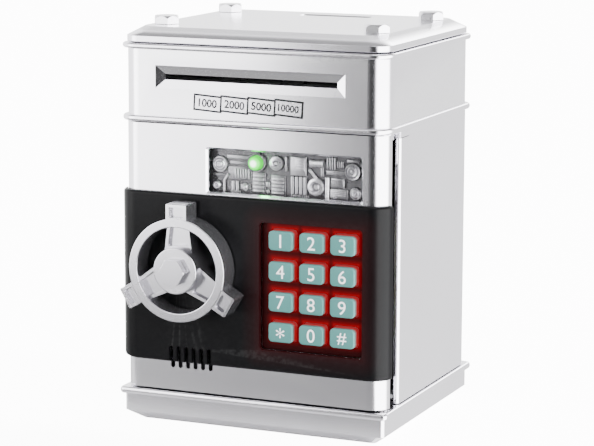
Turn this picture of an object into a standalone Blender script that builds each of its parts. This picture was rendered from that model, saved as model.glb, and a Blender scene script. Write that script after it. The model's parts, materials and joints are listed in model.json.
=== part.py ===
"""Toy safe bank: a locked box with a combination door below and a banknote feeder above.

Metres, +Z up, the door faces -Y. The origin is the middle of the underside.
Everything is at rest: door shut, wheel unlocked, keys up.
"""

from math import cos, pi, radians, sin

import bmesh
import bpy
from mathutils import Matrix, Vector

MM = 0.001
GAP = 0.3 * MM

# Case, from the underside up
HALF_WIDTH = 68.25 * MM
HALF_DEPTH = 58.5 * MM
CORNER = 9.0 * MM
WALL = 2.8 * MM
BEAD = 2.0 * MM
BASE_TOP = 16.8 * MM
DOOR_BOTTOM = 17.6 * MM
DOOR_TOP = 147.6 * MM
HOUSING_BOTTOM = 148.2 * MM
HOUSING_TOP = 185.8 * MM
ROOF_EDGE = 189.2 * MM
ROOF_TOP = 193.4 * MM
FOOT_CHAMFER = 4.9 * MM
CHAMFER_INSET = 6.8 * MM
DECK = 150.6 * MM
DECK_THICK = 2.0 * MM
FLOOR_TOP = 21.5 * MM
LEFT_WALL_FRONT = -49.7 * MM
RIGHT_WALL_FRONT = -39.4 * MM
LUG_LOW = 145.0 * MM
LUG_BACK = -29.0 * MM

# Door
DOOR_REAR = -50.5 * MM
DOOR_SKIN = 2.0 * MM
HINGE_X = 62.5 * MM
HINGE_Y = -47.5 * MM
HINGE_PIN = 1.2 * MM
PANEL_PROUD = 2.3 * MM
PANEL_BOTTOM = 31.8 * MM
PANEL_TOP = 114.9 * MM
COVER_REAR = -33.0 * MM

# Window
WINDOW = (-22.8 * MM, 116.2 * MM, 56.1 * MM, 136.9 * MM)
LENS_FRONT = -55.0 * MM
LED_X = 0.4 * MM
LED_Z = 130.9 * MM
LED_RADIUS = 3.4 * MM

# Keypad: columns left to right, rows top to bottom
KEYPAD = (5.3 * MM, 42.2 * MM, 57.8 * MM, 103.9 * MM)
KEY_FIRST_X = 17.4 * MM
KEY_FIRST_Z = 96.1 * MM
KEY_PITCH_X = 15.7 * MM
KEY_PITCH_Z = 14.7 * MM
KEY_WIDTH = 12.6 * MM
KEY_HEIGHT = 9.5 * MM
KEY_FRONT = -63.6 * MM
KEY_BACK = -55.7 * MM
FIELD_FRONT = -58.1 * MM
FIELD_BACK = -56.9 * MM
KEY_TRAVEL = 1.2 * MM
KEY_NAMES = ("1", "2", "3", "4", "5", "6", "7", "8", "9", "star", "0", "hash")

# Hand wheel and lock
WHEEL_X = -32.0 * MM
WHEEL_Z = 79.9 * MM
RING_OUTER = 25.0 * MM
RING_INNER = 20.8 * MM
RING_FRONT = -74.2 * MM
RING_BACK = -62.4 * MM
LUG_OUTER = 32.0 * MM
LUG_WIDTH = 9.6 * MM
HUB_RADIUS = 11.4 * MM
HUB_FRONT = -75.8 * MM
HEX_FRONT = -79.6 * MM
HEX_FLATS = 11.6 * MM
SPINDLE = 3.0 * MM
CAM_RADIUS = 12.0 * MM
ARM_LENGTH = 29.5 * MM
PLUNGER_Y = -44.5 * MM

# Speaker slots
SLOT_FIRST_X = -41.5 * MM
SLOT_PITCH = 4.03 * MM
SLOT_WIDTH = 2.2 * MM
SLOT_LOW = 28.6 * MM
SLOT_HIGH = 39.9 * MM

# Banknote feeder
NOTE_OUTER = (-50.0 * MM, 164.6 * MM, 47.8 * MM, 175.6 * MM)
NOTE_INNER = (-46.4 * MM, 168.4 * MM, 42.3 * MM, 171.1 * MM)
NOTE_DEEP = -54.8 * MM
ROLLER_Y = -38.0 * MM
DRIVE_Z = 164.5 * MM
PINCH_Z = 174.95 * MM
ROLLER_RADIUS = 5.0 * MM
ROLLER_XS = (-18.0 * MM, 14.0 * MM)
ROLLER_HALF = 5.0 * MM
MODULE = 0.8 * MM
DRIVE_TEETH = 26
IDLER_TEETH = 20
PINION_TEETH = 10
MESH_SLACK = 0.15 * MM
GEAR_LOW = 52.0 * MM
GEAR_HIGH = 56.0 * MM

# Coins, cells, fasteners
COIN_SLOT = (-13.0 * MM, 34.5 * MM, 21.0 * MM, 38.1 * MM)
CHUTE_WALL = 1.4 * MM
CELL_RADIUS = 7.1 * MM
CELL_HALF = 24.6 * MM
CELL_FIRST_Y = 12.5 * MM
CELL_PITCH = 15.0 * MM
CELL_Z = 10.1 * MM
BOLT_X = 54.6 * MM
BOLT_Y = 36.6 * MM
BOLT_FLATS = 11.2 * MM
BOLT_HIGH = 3.9 * MM

for old in list(bpy.data.objects):
    bpy.data.objects.remove(old, do_unlink=True)

parts = bpy.data.collections.new("safe_bank")
cutters = bpy.data.collections.new("cutters")
for collection in (parts, cutters):
    bpy.context.scene.collection.children.link(collection)
cutters.hide_render = True


# ---------------------------------------------------------------- materials


def material(name, colour, roughness, metallic=0.0, glow=0.0):
    made = bpy.data.materials.new(name)
    made.use_nodes = True
    shader = made.node_tree.nodes["Principled BSDF"]
    shader.inputs["Base Color"].default_value = (*colour, 1.0)
    shader.inputs["Roughness"].default_value = roughness
    shader.inputs["Metallic"].default_value = metallic
    if glow:
        shader.inputs["Emission Color"].default_value = (*colour, 1.0)
        shader.inputs["Emission Strength"].default_value = glow
    return made


SILVER = material("silver_plastic", (0.66, 0.65, 0.68), 0.35, 0.6)
BLACK = material("black_plastic", (0.012, 0.012, 0.015), 0.3)
GREY = material("grey_plastic", (0.25, 0.25, 0.27), 0.5)
TEAL = material("teal_key", (0.16, 0.49, 0.43), 0.4)
RED_FIELD = material("red_field", (0.25, 0.01, 0.015), 0.35)
CLEAR = material("clear_plastic", (0.9, 0.92, 0.95), 0.05)
CHROME = material("chrome_plastic", (0.62, 0.62, 0.64), 0.2, 1.0)
GREEN = material("green_led", (0.05, 0.9, 0.2), 0.2, glow=3.0)
STEEL = material("steel", (0.55, 0.55, 0.57), 0.3, 1.0)
RUBBER = material("rubber", (0.03, 0.03, 0.03), 0.8)
WHITE = material("white_gear", (0.75, 0.75, 0.72), 0.45)
BOARD = material("circuit_board", (0.02, 0.16, 0.06), 0.5)
COPPER = material("cell_jacket", (0.4, 0.2, 0.05), 0.35, 0.5)


# ---------------------------------------------------------------- modelling helpers


def add(name, mesh, finish, collection=parts):
    """An object for a mesh whose points are in world space."""
    made = bpy.data.objects.new(name, mesh)
    collection.objects.link(made)
    if collection is cutters:
        made.hide_render = True
        made.display_type = "WIRE"
    elif finish:
        mesh.materials.append(finish)
    return made


def tidy_mesh(name, work):
    bmesh.ops.remove_doubles(work, verts=work.verts, dist=1e-7)
    bmesh.ops.recalc_face_normals(work, faces=work.faces)
    mesh = bpy.data.meshes.new(name)
    work.to_mesh(mesh)
    work.free()
    mesh.shade_smooth()
    mesh.set_sharp_from_angle(angle=radians(30))
    return mesh


def box(name, low, high, finish=None, collection=parts):
    work = bmesh.new()
    bmesh.ops.create_cube(work, size=1.0)
    size = Vector(high) - Vector(low)
    bmesh.ops.scale(work, vec=size, verts=work.verts)
    bmesh.ops.translate(work, vec=Vector(low) + size / 2, verts=work.verts)
    return add(name, tidy_mesh(name, work), finish, collection)


def box_mm(name, low, high, finish=None, collection=parts):
    return box(name, [v * MM for v in low], [v * MM for v in high], finish, collection)


TURN = {
    "X": Matrix.Rotation(pi / 2, 4, "Y"),
    "Y": Matrix.Rotation(-pi / 2, 4, "X"),
    "Z": Matrix.Identity(4),
}


def rod(name, axis, centre, radius, low, high, finish=None, collection=parts, sides=32):
    """A cylinder along an axis, from low to high; centre holds its other two coordinates in order."""
    work = bmesh.new()
    bmesh.ops.create_cone(
        work, cap_ends=True, segments=sides, radius1=radius, radius2=radius, depth=high - low
    )
    bmesh.ops.transform(work, matrix=TURN[axis], verts=work.verts)
    middle = (low + high) / 2
    place = {
        "X": (middle, centre[0], centre[1]),
        "Y": (centre[0], middle, centre[1]),
        "Z": (centre[0], centre[1], middle),
    }[axis]
    bmesh.ops.translate(work, vec=place, verts=work.verts)
    return add(name, tidy_mesh(name, work), finish, collection)


def rounded(low_u, low_v, high_u, high_v, radius, grow=0.0, steps=5):
    """A rectangle with round corners, anticlockwise, each side moved out by grow."""
    low_u, low_v, high_u, high_v = low_u - grow, low_v - grow, high_u + grow, high_v + grow
    radius = max(radius + grow, 1e-5)
    corners = (
        (high_u - radius, low_v + radius, -pi / 2),
        (high_u - radius, high_v - radius, 0.0),
        (low_u + radius, high_v - radius, pi / 2),
        (low_u + radius, low_v + radius, pi),
    )
    return [
        (u + radius * cos(start + pi / 2 * i / steps), v + radius * sin(start + pi / 2 * i / steps))
        for u, v, start in corners
        for i in range(steps + 1)
    ]


def stacked(name, axis, layers, finish=None, collection=parts):
    """A solid through outlines of equal length, each at its own height along an axis."""
    lift = {
        "X": lambda u, v, h: (h, u, v),
        "Y": lambda u, v, h: (u, h, v),
        "Z": lambda u, v, h: (u, v, h),
    }[axis]
    work = bmesh.new()
    rings = [[work.verts.new(lift(u, v, height)) for u, v in loop] for height, loop in layers]
    count = len(rings[0])
    for lower, upper in zip(rings, rings[1:]):
        for i in range(count):
            j = (i + 1) % count
            work.faces.new((lower[i], lower[j], upper[j], upper[i]))
    work.faces.new(rings[0])
    work.faces.new(rings[-1])
    return add(name, tidy_mesh(name, work), finish, collection)


def slab(name, axis, loop, low, high, finish=None, collection=parts):
    return stacked(name, axis, [(low, loop), (high, loop)], finish, collection)


def case_outline(grow=0.0, steps=5):
    return rounded(-HALF_WIDTH, -HALF_DEPTH, HALF_WIDTH, HALF_DEPTH, CORNER, grow, steps)


def boolean(target, other, operation):
    """Cuts or joins with another object, which becomes a hidden cutter."""
    if other.name not in cutters.objects:
        parts.objects.unlink(other)
        cutters.objects.link(other)
        other.hide_render = True
        other.display_type = "WIRE"
    made = target.modifiers.new(operation.lower(), "BOOLEAN")
    made.operation = operation
    made.object = other
    made.solver = "EXACT"
    return target


def cut(target, *others):
    for other in others:
        boolean(target, other, "DIFFERENCE")
    return target


def join(target, *others):
    for other in others:
        boolean(target, other, "UNION")
    return target


def keep_inside(target, other):
    return boolean(target, other, "INTERSECT")


def hang(piece, parent, origin=None):
    """Moves the piece's origin to its own place, and parents it without moving it."""
    origin = Vector(origin) if origin is not None else Vector(parent.matrix_world.translation)
    piece.data.transform(Matrix.Translation(-origin))
    piece.location = origin - parent.matrix_world.translation
    piece.parent = parent


def axis_empty(name, place, parent=None):
    made = bpy.data.objects.new(name, None)
    made.empty_display_size = 10 * MM
    parts.objects.link(made)
    made.parent = parent
    made.location = Vector(place) - (parent.matrix_world.translation if parent else Vector())
    bpy.context.view_layer.update()
    return made


def capsule(name, axis, u, low_v, high_v, width, low, high):
    loop = rounded(u - width / 2, low_v, u + width / 2, high_v, width / 2 - 1e-5, 0.0, 4)
    return slab(name, axis, loop, low, high, None, cutters)


def bead_layers(low, high):
    """Heights and outward growth of the half-round bead that rings the case."""
    soft = 0.7 * MM
    return [
        (low, BEAD - soft),
        (low + soft, BEAD),
        (high - soft, BEAD),
        (high, BEAD - soft),
    ]


def hexagon(flats, first_angle):
    radius = flats / 2 / cos(pi / 6)
    return [
        (radius * cos(first_angle + pi / 3 * i), radius * sin(first_angle + pi / 3 * i))
        for i in range(6)
    ]


def shifted(loop, du, dv):
    return [(u + du, v + dv) for u, v in loop]


# ---------------------------------------------------------------- case


def base_pan():
    inset = CHAMFER_INSET
    layers = [(0.0, -inset), (FOOT_CHAMFER, 0.0), (BASE_TOP - 3.4 * MM, 0.0)]
    layers += bead_layers(BASE_TOP - 3.4 * MM, BASE_TOP)
    made = stacked("base_pan", "Z", [(z, case_outline(grow)) for z, grow in layers], SILVER)
    hollow = [
        (3.0 * MM, case_outline(1.0 * MM - inset)),
        (6.0 * MM, case_outline(-WALL)),
        (BASE_TOP + 5 * MM, case_outline(-WALL)),
    ]
    cut(made, stacked("base_hollow", "Z", hollow, None, cutters))
    join(made, rod("hinge_post", "Z", (HINGE_X, HINGE_Y), 4.6 * MM, 5.4 * MM, BASE_TOP))
    cut(
        made,
        rod("base_pin_hole", "Z", (HINGE_X, HINGE_Y), 1.5 * MM, 8.0 * MM, BASE_TOP + 5 * MM),
        box_mm("cell_opening", (-27, 5, -5), (27, 50, 8)),
        box_mm("cell_door_recess", (-28.9, 3.9, -5), (28.9, 51.1, 1.8)),
        box_mm("foot_pocket_left", (-57.3, -36.3, -5), (-48.7, 36.3, 1.5)),
        box_mm("foot_pocket_right", (48.7, -36.3, -5), (57.3, 36.3, 1.5)),
    )
    return made


def body_shell():
    made = slab("body_shell", "Z", case_outline(), BASE_TOP + GAP, HOUSING_BOTTOM - GAP, SILVER)
    inner = slab("body_hollow", "Z", case_outline(-WALL), 0.0, 0.2, None, cutters)
    return cut(
        made,
        inner,
        box("left_front", (-0.09, -0.09, 0), (0, LEFT_WALL_FRONT, 0.2)),
        box("right_front", (-0.001, -0.09, 0), (0.09, RIGHT_WALL_FRONT, 0.2)),
        box("lug_notch", (0.056, -0.05, LUG_LOW - GAP), (0.09, LUG_BACK + GAP, 0.16)),
    )


def upper_housing():
    layers = bead_layers(HOUSING_BOTTOM, HOUSING_BOTTOM + 3.0 * MM)
    layers += [(HOUSING_BOTTOM + 3.0 * MM, 0.0), (HOUSING_TOP - 2.7 * MM, 0.0)]
    layers += bead_layers(HOUSING_TOP - 2.7 * MM, HOUSING_TOP)
    made = stacked("upper_housing", "Z", [(z, case_outline(grow)) for z, grow in layers], SILVER)
    cut(made, slab("housing_hollow", "Z", case_outline(-2.5 * MM), 0.14, 0.2, None, cutters))
    eye = rod("hinge_lug_eye", "Z", (HINGE_X, HINGE_Y), 5.0 * MM, LUG_LOW, LUG_LOW + 4.5 * MM)
    rear_low = (57 * MM, RIGHT_WALL_FRONT, LUG_LOW)
    rear_high = (HALF_WIDTH, LUG_BACK, LUG_LOW + 4.0 * MM)
    join(
        made,
        box_mm("hinge_lug_web", (52, -56.8, 148.2), (66.5, -28.0, 150.2)),
        box("hinge_lug_rear", rear_low, rear_high),
        eye,
        box_mm("hinge_lug_neck", (57.5, -47.5, 145.0), (62.9, -39.0, 149.0)),
        box_mm("note_mouth_block", (-53, -57.5, 162), (50.8, -53.4, 178)),
    )
    funnel = [
        (-0.0625, rounded(*NOTE_OUTER, 0.3 * MM, 4.1 * MM, 1)),
        (-HALF_DEPTH, rounded(*NOTE_OUTER, 0.3 * MM, 0.0, 1)),
        (NOTE_DEEP, rounded(*NOTE_INNER, 0.3 * MM, 0.0, 1)),
        (-0.050, rounded(*NOTE_INNER, 0.3 * MM, 0.0, 1)),
    ]
    return cut(
        made,
        stacked("note_funnel", "Y", funnel, None, cutters),
        rod("lug_pin_hole", "Z", (HINGE_X, HINGE_Y), 1.5 * MM, 0.14, 0.155),
    )


def roof_lid():
    layers = [(HOUSING_TOP + GAP, 0.0), (ROOF_EDGE, 0.0), (ROOF_TOP, -CHAMFER_INSET)]
    made = stacked("roof_lid", "Z", [(z, case_outline(grow)) for z, grow in layers], SILVER)
    hollow = [
        (0.180, case_outline(-2.5 * MM)),
        (188.0 * MM, case_outline(-2.5 * MM)),
        (191.0 * MM, case_outline(-CHAMFER_INSET - 2.0 * MM)),
    ]
    low_x, low_y, high_x, high_y = COIN_SLOT
    rim = 3.0 * MM
    dish = [
        (192.4 * MM, rounded(low_x, low_y, high_x, high_y, 1.0 * MM, 0.4 * MM, 2)),
        (193.5 * MM, rounded(low_x, low_y, high_x, high_y, 1.0 * MM, rim, 2)),
    ]
    cut(
        made,
        stacked("roof_hollow", "Z", hollow, None, cutters),
        slab("coin_slot", "Z", rounded(*COIN_SLOT, 1.0 * MM, 0.0, 2), 0.18, 0.2, None, cutters),
        stacked("coin_dish", "Z", dish, None, cutters),
    )
    for x in (-BOLT_X, BOLT_X):
        for y in (-BOLT_Y, BOLT_Y):
            cut(made, rod(f"bolt_hole_{x:.3f}_{y:.3f}", "Z", (x, y), 1.8 * MM, 0.18, 0.2))
    return made


def roof_bolts():
    made = []
    for side, x in (("left", -BOLT_X), ("right", BOLT_X)):
        for end, y in (("front", -BOLT_Y), ("back", BOLT_Y)):
            seat = ROOF_TOP + 0.2 * MM
            head = shifted(hexagon(BOLT_FLATS, 0.0), x, y)
            top = shifted(hexagon(BOLT_FLATS - 0.8 * MM, 0.0), x, y)
            layers = [(seat, head), (seat + BOLT_HIGH - 0.4 * MM, head), (seat + BOLT_HIGH, top)]
            bolt = stacked(f"roof_bolt_{end}_{side}", "Z", layers, SILVER)
            shank = rod(f"shank_{end}_{side}", "Z", (x, y), 1.4 * MM, 187 * MM, seat + 1 * MM)
            join(bolt, shank)
            made.append(bolt)
    return made


def vault_floor():
    loop = case_outline(-WALL - GAP)
    made = slab("vault_floor", "Z", loop, FLOOR_TOP - 2.0 * MM, FLOOR_TOP, GREY)
    return cut(
        made,
        box_mm("floor_front", (-90, -90, 0), (90, -47.8, 40)),
        box_mm("floor_hinge_corner", (53.5, -90, 0), (90, -39.3, 40)),
    )


def feeder_deck():
    loop = case_outline(-2.5 * MM - GAP)
    made = slab("feeder_deck", "Z", loop, DECK, DECK + DECK_THICK, GREY)
    low_x, low_y, high_x, high_y = COIN_SLOT
    room = CHUTE_WALL + 0.8 * MM
    return cut(
        made,
        box_mm("note_drop", (-47.5, -32.5, 140), (43.5, -18.0, 160)),
        box("coin_drop", (low_x - room, low_y - room, 0.14), (high_x + room, high_y + room, 0.16)),
    )


def coin_chute():
    low_x, low_y, high_x, high_y = COIN_SLOT
    low = (low_x - CHUTE_WALL, low_y - CHUTE_WALL, 149.0 * MM)
    high = (high_x + CHUTE_WALL, high_y + CHUTE_WALL, 190.4 * MM)
    made = box("coin_chute", low, high, GREY)
    return cut(made, box("coin_way", (low_x, low_y, 0.14), (high_x, high_y, 0.2)))


def battery_pieces():
    tray = box_mm("battery_tray", (-29, 3.6, 3.3), (29, 51.4, 18.9), GREY)
    cut(tray, box_mm("tray_hollow", (-27.4, 4.9, -2), (27.4, 50.1, 17.5)))
    door = box_mm("battery_door", (-28.6, 4.2, 0.2), (28.6, 50.8, 1.5), SILVER)
    screw_y = 47.6 * MM
    cut(door, rod("screw_hole", "Z", (0.0, screw_y), 1.5 * MM, -0.01, 0.01))
    screw = rod("battery_screw", "Z", (0.0, screw_y), 1.2 * MM, 0.3 * MM, 2.2 * MM, STEEL, sides=16)
    cells = []
    for i in range(3):
        y = CELL_FIRST_Y + CELL_PITCH * i
        name = f"battery_cell_{i + 1}"
        cell = rod(name, "X", (y, CELL_Z), CELL_RADIUS, -CELL_HALF, CELL_HALF, COPPER, sides=24)
        flip = -1.0 if i % 2 else 1.0
        ends = sorted((flip * (CELL_HALF - 0.5 * MM), flip * (CELL_HALF + 1.2 * MM)))
        join(cell, rod(f"cell_nub_{i}", "X", (y, CELL_Z), 2.6 * MM, *ends, sides=12))
        cells.append(cell)
    return [tray, door, screw, *cells]


def foot_pads():
    return [
        box_mm("foot_pad_left", (-57, -36, 0), (-49, 36, 1.2), RUBBER),
        box_mm("foot_pad_right", (49, -36, 0), (57, 36, 1.2), RUBBER),
    ]


def hinge_pins():
    ends = {"lower": (8.5 * MM, 28.0 * MM), "upper": (134.0 * MM, 150.0 * MM)}
    centre = (HINGE_X, HINGE_Y)
    return [
        rod(f"hinge_pin_{end}", "Z", centre, HINGE_PIN, low, high, STEEL, sides=16)
        for end, (low, high) in ends.items()
    ]


def latch_strike():
    made = box_mm("latch_strike", (-65.15, -36, 68), (-63.4, -14, 92), STEEL)
    return join(made, box_mm("strike_finger", (-64.5, -35.6, 73), (-57.0, -33.4, 87)))


# ---------------------------------------------------------------- feeder


def gear_outline(teeth, phase):
    """Straight-flanked teeth, thinned so that two of them mesh without touching."""
    pitch = MODULE * teeth / 2
    tip, root = pitch + 0.85 * MODULE, pitch - 1.15 * MODULE
    half_tip, half_root = 0.22 * MODULE, 1.0 * MODULE
    loop = []
    for i in range(teeth):
        centre = phase + 2 * pi * i / teeth
        steps = ((-half_root, root), (-half_tip, tip), (half_tip, tip), (half_root, root))
        for across, radius in steps:
            turn = centre + across / radius
            loop.append((radius * cos(turn), radius * sin(turn)))
    return loop


IDLER_Y = ROLLER_Y + MODULE * (DRIVE_TEETH + IDLER_TEETH) / 2 + MESH_SLACK
MOTOR_Y = IDLER_Y + MODULE * (IDLER_TEETH + PINION_TEETH) / 2 + MESH_SLACK


def gear(name, teeth, phase, y, bore):
    loop = shifted(gear_outline(teeth, phase), y, DRIVE_Z)
    made = slab(name, "X", loop, GEAR_LOW, GEAR_HIGH, WHITE)
    if bore:
        cut(made, rod(f"{name}_bore", "X", (y, DRIVE_Z), bore, 0.04, 0.07, sides=24))
    return made


def roller(name, z, right_end):
    """A steel shaft with two rubber rollers moulded on it."""
    shaft = rod(name, "X", (ROLLER_Y, z), 1.5 * MM, -56 * MM, right_end, RUBBER, sides=16)
    for i, x in enumerate(ROLLER_XS):
        ends = (x - ROLLER_HALF, x + ROLLER_HALF)
        join(shaft, rod(f"{name}_rubber_{i}", "X", (ROLLER_Y, z), ROLLER_RADIUS, *ends, sides=28))
    return shaft


def feeder_frame():
    left = box_mm("feeder_plate_left", (-54, -46, 152.9), (-52, -28, 182), GREY)
    right = box_mm("feeder_plate_right", (48, -46, 152.9), (50, 4, 182), GREY)
    for plate in (left, right):
        for z in (DRIVE_Z, PINCH_Z):
            name = f"{plate.name}_hole_{z:.3f}"
            cut(plate, rod(name, "X", (ROLLER_Y, z), 1.8 * MM, -0.07, 0.07, sides=16))
    cut(right, rod("motor_shaft_hole", "X", (MOTOR_Y, DRIVE_Z), 2.4 * MM, 0.04, 0.06, sides=16))
    join(right, rod("idler_stub", "X", (IDLER_Y, DRIVE_Z), 1.5 * MM, 49 * MM, 57 * MM, sides=16))
    return [left, right]


def note_guides():
    made = []
    for name, low, z in (("note_guide_lower", 167.0, DRIVE_Z), ("note_guide_upper", 171.5, PINCH_Z)):
        guide = box_mm(name, (-51.6, -53.0, low), (47.6, -31.0, low + 1.0), GREY)
        for i, x in enumerate(ROLLER_XS):
            window = (x - ROLLER_HALF - 0.6 * MM, ROLLER_Y - 5.6 * MM, z - 8 * MM)
            far = (x + ROLLER_HALF + 0.6 * MM, ROLLER_Y + 5.6 * MM, z + 8 * MM)
            cut(guide, box(f"{name}_window_{i}", window, far))
        made.append(guide)
    return made


def note_chute():
    """A sheet that turns the note down through the deck."""
    radius, thick = 13.0 * MM, 1.0 * MM
    centre_y, centre_z, low_z = -32.0 * MM, 165.0 * MM, 153.0 * MM
    steps = 8
    angles = [radians(80) * (1 - i / steps) for i in range(steps + 1)]
    inner = [(centre_y + radius * cos(a), centre_z + radius * sin(a)) for a in angles]
    outer = [
        (centre_y + (radius + thick) * cos(a), centre_z + (radius + thick) * sin(a)) for a in angles
    ]
    inner.append((centre_y + radius, low_z))
    outer.append((centre_y + radius + thick, low_z))
    return slab("note_chute", "X", inner + outer[::-1], -46.5 * MM, 43.0 * MM, GREY)


def feed_motor():
    centre = (MOTOR_Y, DRIVE_Z)
    made = rod("feed_motor", "X", centre, 9.8 * MM, 22 * MM, 46.4 * MM, STEEL)
    return join(made, rod("motor_nose", "X", centre, 3.0 * MM, 46 * MM, 47.7 * MM, sides=24))


def control_board():
    made = box_mm("control_board", (-62, -10, 154.0), (-22, 26, 155.6), BOARD)
    return join(
        made,
        box_mm("chip", (-50, 0, 155), (-38, 8, 157.6)),
        box_mm("plug_socket", (-34, 14, 155), (-25, 22, 160)),
        rod("capacitor", "Z", (-56 * MM, 16 * MM), 3.0 * MM, 155 * MM, 163 * MM, sides=20),
        rod("board_leg_1", "Z", (-58 * MM, -6 * MM), 2.0 * MM, 152.9 * MM, 154.5 * MM, sides=12),
        rod("board_leg_2", "Z", (-26 * MM, -6 * MM), 2.0 * MM, 152.9 * MM, 154.5 * MM, sides=12),
    )


# ---------------------------------------------------------------- door


def door_shell():
    made = slab("door_shell", "Z", case_outline(), DOOR_BOTTOM, DOOR_TOP, SILVER)
    low, high = DOOR_BOTTOM + DOOR_SKIN, DOOR_TOP - DOOR_SKIN
    low_x, low_z, high_x, high_z = WINDOW
    centre = (HINGE_X, HINGE_Y)
    cut(
        made,
        box("door_behind", (-0.1, DOOR_REAR, 0.0), (0.1, 0.1, 0.2)),
        slab("door_hollow", "Z", case_outline(-DOOR_SKIN), low, high, None, cutters),
    )
    join(
        made,
        box_mm("window_collar", (-25.5, -57, 112.4), (58.6, -55.4, 139.6)),
        rod("door_boss_lower", "Z", centre, 4.0 * MM, DOOR_BOTTOM, 29.0 * MM, sides=24),
        rod("door_boss_upper", "Z", centre, 4.0 * MM, 132.0 * MM, 144.6 * MM, sides=24),
        box_mm("door_boss_rib_lower", (61, -54.4, 18), (66.6, -50.6, 29)),
        box_mm("door_boss_rib_upper", (61, -54.4, 132), (66.6, -50.6, 144.6)),
    )
    cut(
        made,
        rod("lug_room", "Z", centre, 5.5 * MM, 144.6 * MM, 0.16),
        rod("door_pin_hole_lower", "Z", centre, 1.5 * MM, 0.01, 28.5 * MM, sides=16),
        rod("door_pin_hole_upper", "Z", centre, 1.5 * MM, 133.5 * MM, 0.16, sides=16),
        box("window_cut", (low_x, -0.07, low_z), (high_x, -0.052, high_z)),
        slab("keypad_cut_door", "Y", rounded(*KEYPAD, 2.0 * MM, 0.0, 3), -0.07, -0.055, None, cutters),
        rod("spindle_hole_door", "Y", (WHEEL_X, WHEEL_Z), 4.5 * MM, -0.07, -0.052),
    )
    for i in range(6):
        x = SLOT_FIRST_X + SLOT_PITCH * i
        cut(made, capsule(f"slot_{i}", "Y", x, SLOT_LOW, SLOT_HIGH, SLOT_WIDTH, -0.07, -0.052))
    return made


def front_panel():
    layers = [
        (PANEL_BOTTOM, 0.7 * MM),
        (PANEL_BOTTOM + 1.8 * MM, PANEL_PROUD),
        (PANEL_TOP - 1.4 * MM, PANEL_PROUD),
        (PANEL_TOP, 1.2 * MM),
    ]
    made = stacked("front_panel", "Z", [(z, case_outline(grow)) for z, grow in layers], BLACK)
    cut(
        made,
        slab("panel_hollow", "Z", case_outline(GAP), 0.0, 0.2, None, cutters),
        box_mm("panel_behind", (-90, -52.4, 0), (90, 90, 200)),
        slab("keypad_cut", "Y", rounded(*KEYPAD, 2.0 * MM, 0.0, 3), -0.07, -0.05, None, cutters),
        rod("spindle_hole_panel", "Y", (WHEEL_X, WHEEL_Z), 4.5 * MM, -0.07, -0.05),
    )
    for i in range(6):
        x = SLOT_FIRST_X + SLOT_PITCH * i
        name = f"panel_slot_{i}"
        cut(made, capsule(name, "Y", x, SLOT_LOW, SLOT_HIGH, SLOT_WIDTH, -0.07, -0.052))
    return made


def window_lens():
    low, high = LENS_FRONT, LENS_FRONT + 1.1 * MM
    made = slab("window_lens", "Y", rounded(*WINDOW, 1.0 * MM, 1.5 * MM, 2), low, high, CLEAR)
    return cut(made, rod("lens_led_hole", "Y", (LED_X, LED_Z), LED_RADIUS + 0.4 * MM, -0.06, -0.05))


def relief_panel():
    """The moulded mechanism behind the window: a back plate with raised gears, fins and studs."""
    face = -51.6 * MM
    loop = rounded(*WINDOW, 1.0 * MM, 1.5 * MM, 2)
    made = slab("relief_panel", "Y", loop, face, face + 1.1 * MM, CHROME)
    studs = ((-18.7, 129.2, 3.4), (-20.3, 118.5, 2.0), (10.5, 131.5, 3.0), (31.0, 121.4, 3.9))
    studs += ((49.1, 129.7, 3.2), (50.7, 119.4, 2.2))
    for i, (x, z, radius) in enumerate(studs):
        centre = (x * MM, z * MM)
        ends = (-53.5 * MM, face + 0.5 * MM)
        join(made, rod(f"relief_stud_{i}", "Y", centre, radius * MM, *ends, sides=20))
    blocks = ((-16, 131, -2.5, 135), (-10, 117, -3, 122), (3, 117, 8, 126), (12, 117, 18, 126))
    blocks += ((21, 118, 26.5, 134), (38, 118, 44, 124), (30, 128, 45, 134))
    for i, (x0, z0, x1, z1) in enumerate(blocks):
        join(made, box_mm(f"relief_block_{i}", (x0, -53.2, z0), (x1, -51.2, z1)))
    return cut(
        made, rod("relief_led_hole", "Y", (LED_X, LED_Z), LED_RADIUS + GAP, -0.06, -0.05)
    )


def status_led():
    front = -54.6 * MM
    centre = (LED_X, LED_Z)
    made = rod("status_led", "Y", centre, LED_RADIUS, front, -49.2 * MM, GREEN, sides=24)
    dome = bmesh.new()
    bmesh.ops.create_uvsphere(dome, u_segments=24, v_segments=12, radius=LED_RADIUS)
    bmesh.ops.scale(dome, vec=(1.0, 1.0, 0.75), verts=dome.verts)
    bmesh.ops.rotate(dome, matrix=Matrix.Rotation(pi / 2, 3, "X"), verts=dome.verts)
    bmesh.ops.translate(dome, vec=(LED_X, front, LED_Z), verts=dome.verts)
    return join(made, add("led_dome", tidy_mesh("led_dome", dome), None))


def keypad_bezel():
    loop = rounded(*KEYPAD, 2.0 * MM, -GAP, 3)
    made = slab("keypad_bezel", "Y", loop, FIELD_FRONT, FIELD_BACK, RED_FIELD)
    for i, (x, z) in enumerate(key_places()):
        half_w, half_h = KEY_WIDTH / 2 + 0.35 * MM, KEY_HEIGHT / 2 + 0.35 * MM
        hole = rounded(x - half_w, z - half_h, x + half_w, z + half_h, 1.6 * MM, 0.0, 2)
        cut(made, slab(f"key_hole_{i}", "Y", hole, -0.07, -0.05, None, cutters))
    return made


def key_places():
    return [
        (KEY_FIRST_X + KEY_PITCH_X * (i % 3), KEY_FIRST_Z - KEY_PITCH_Z * (i // 3))
        for i in range(len(KEY_NAMES))
    ]


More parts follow.
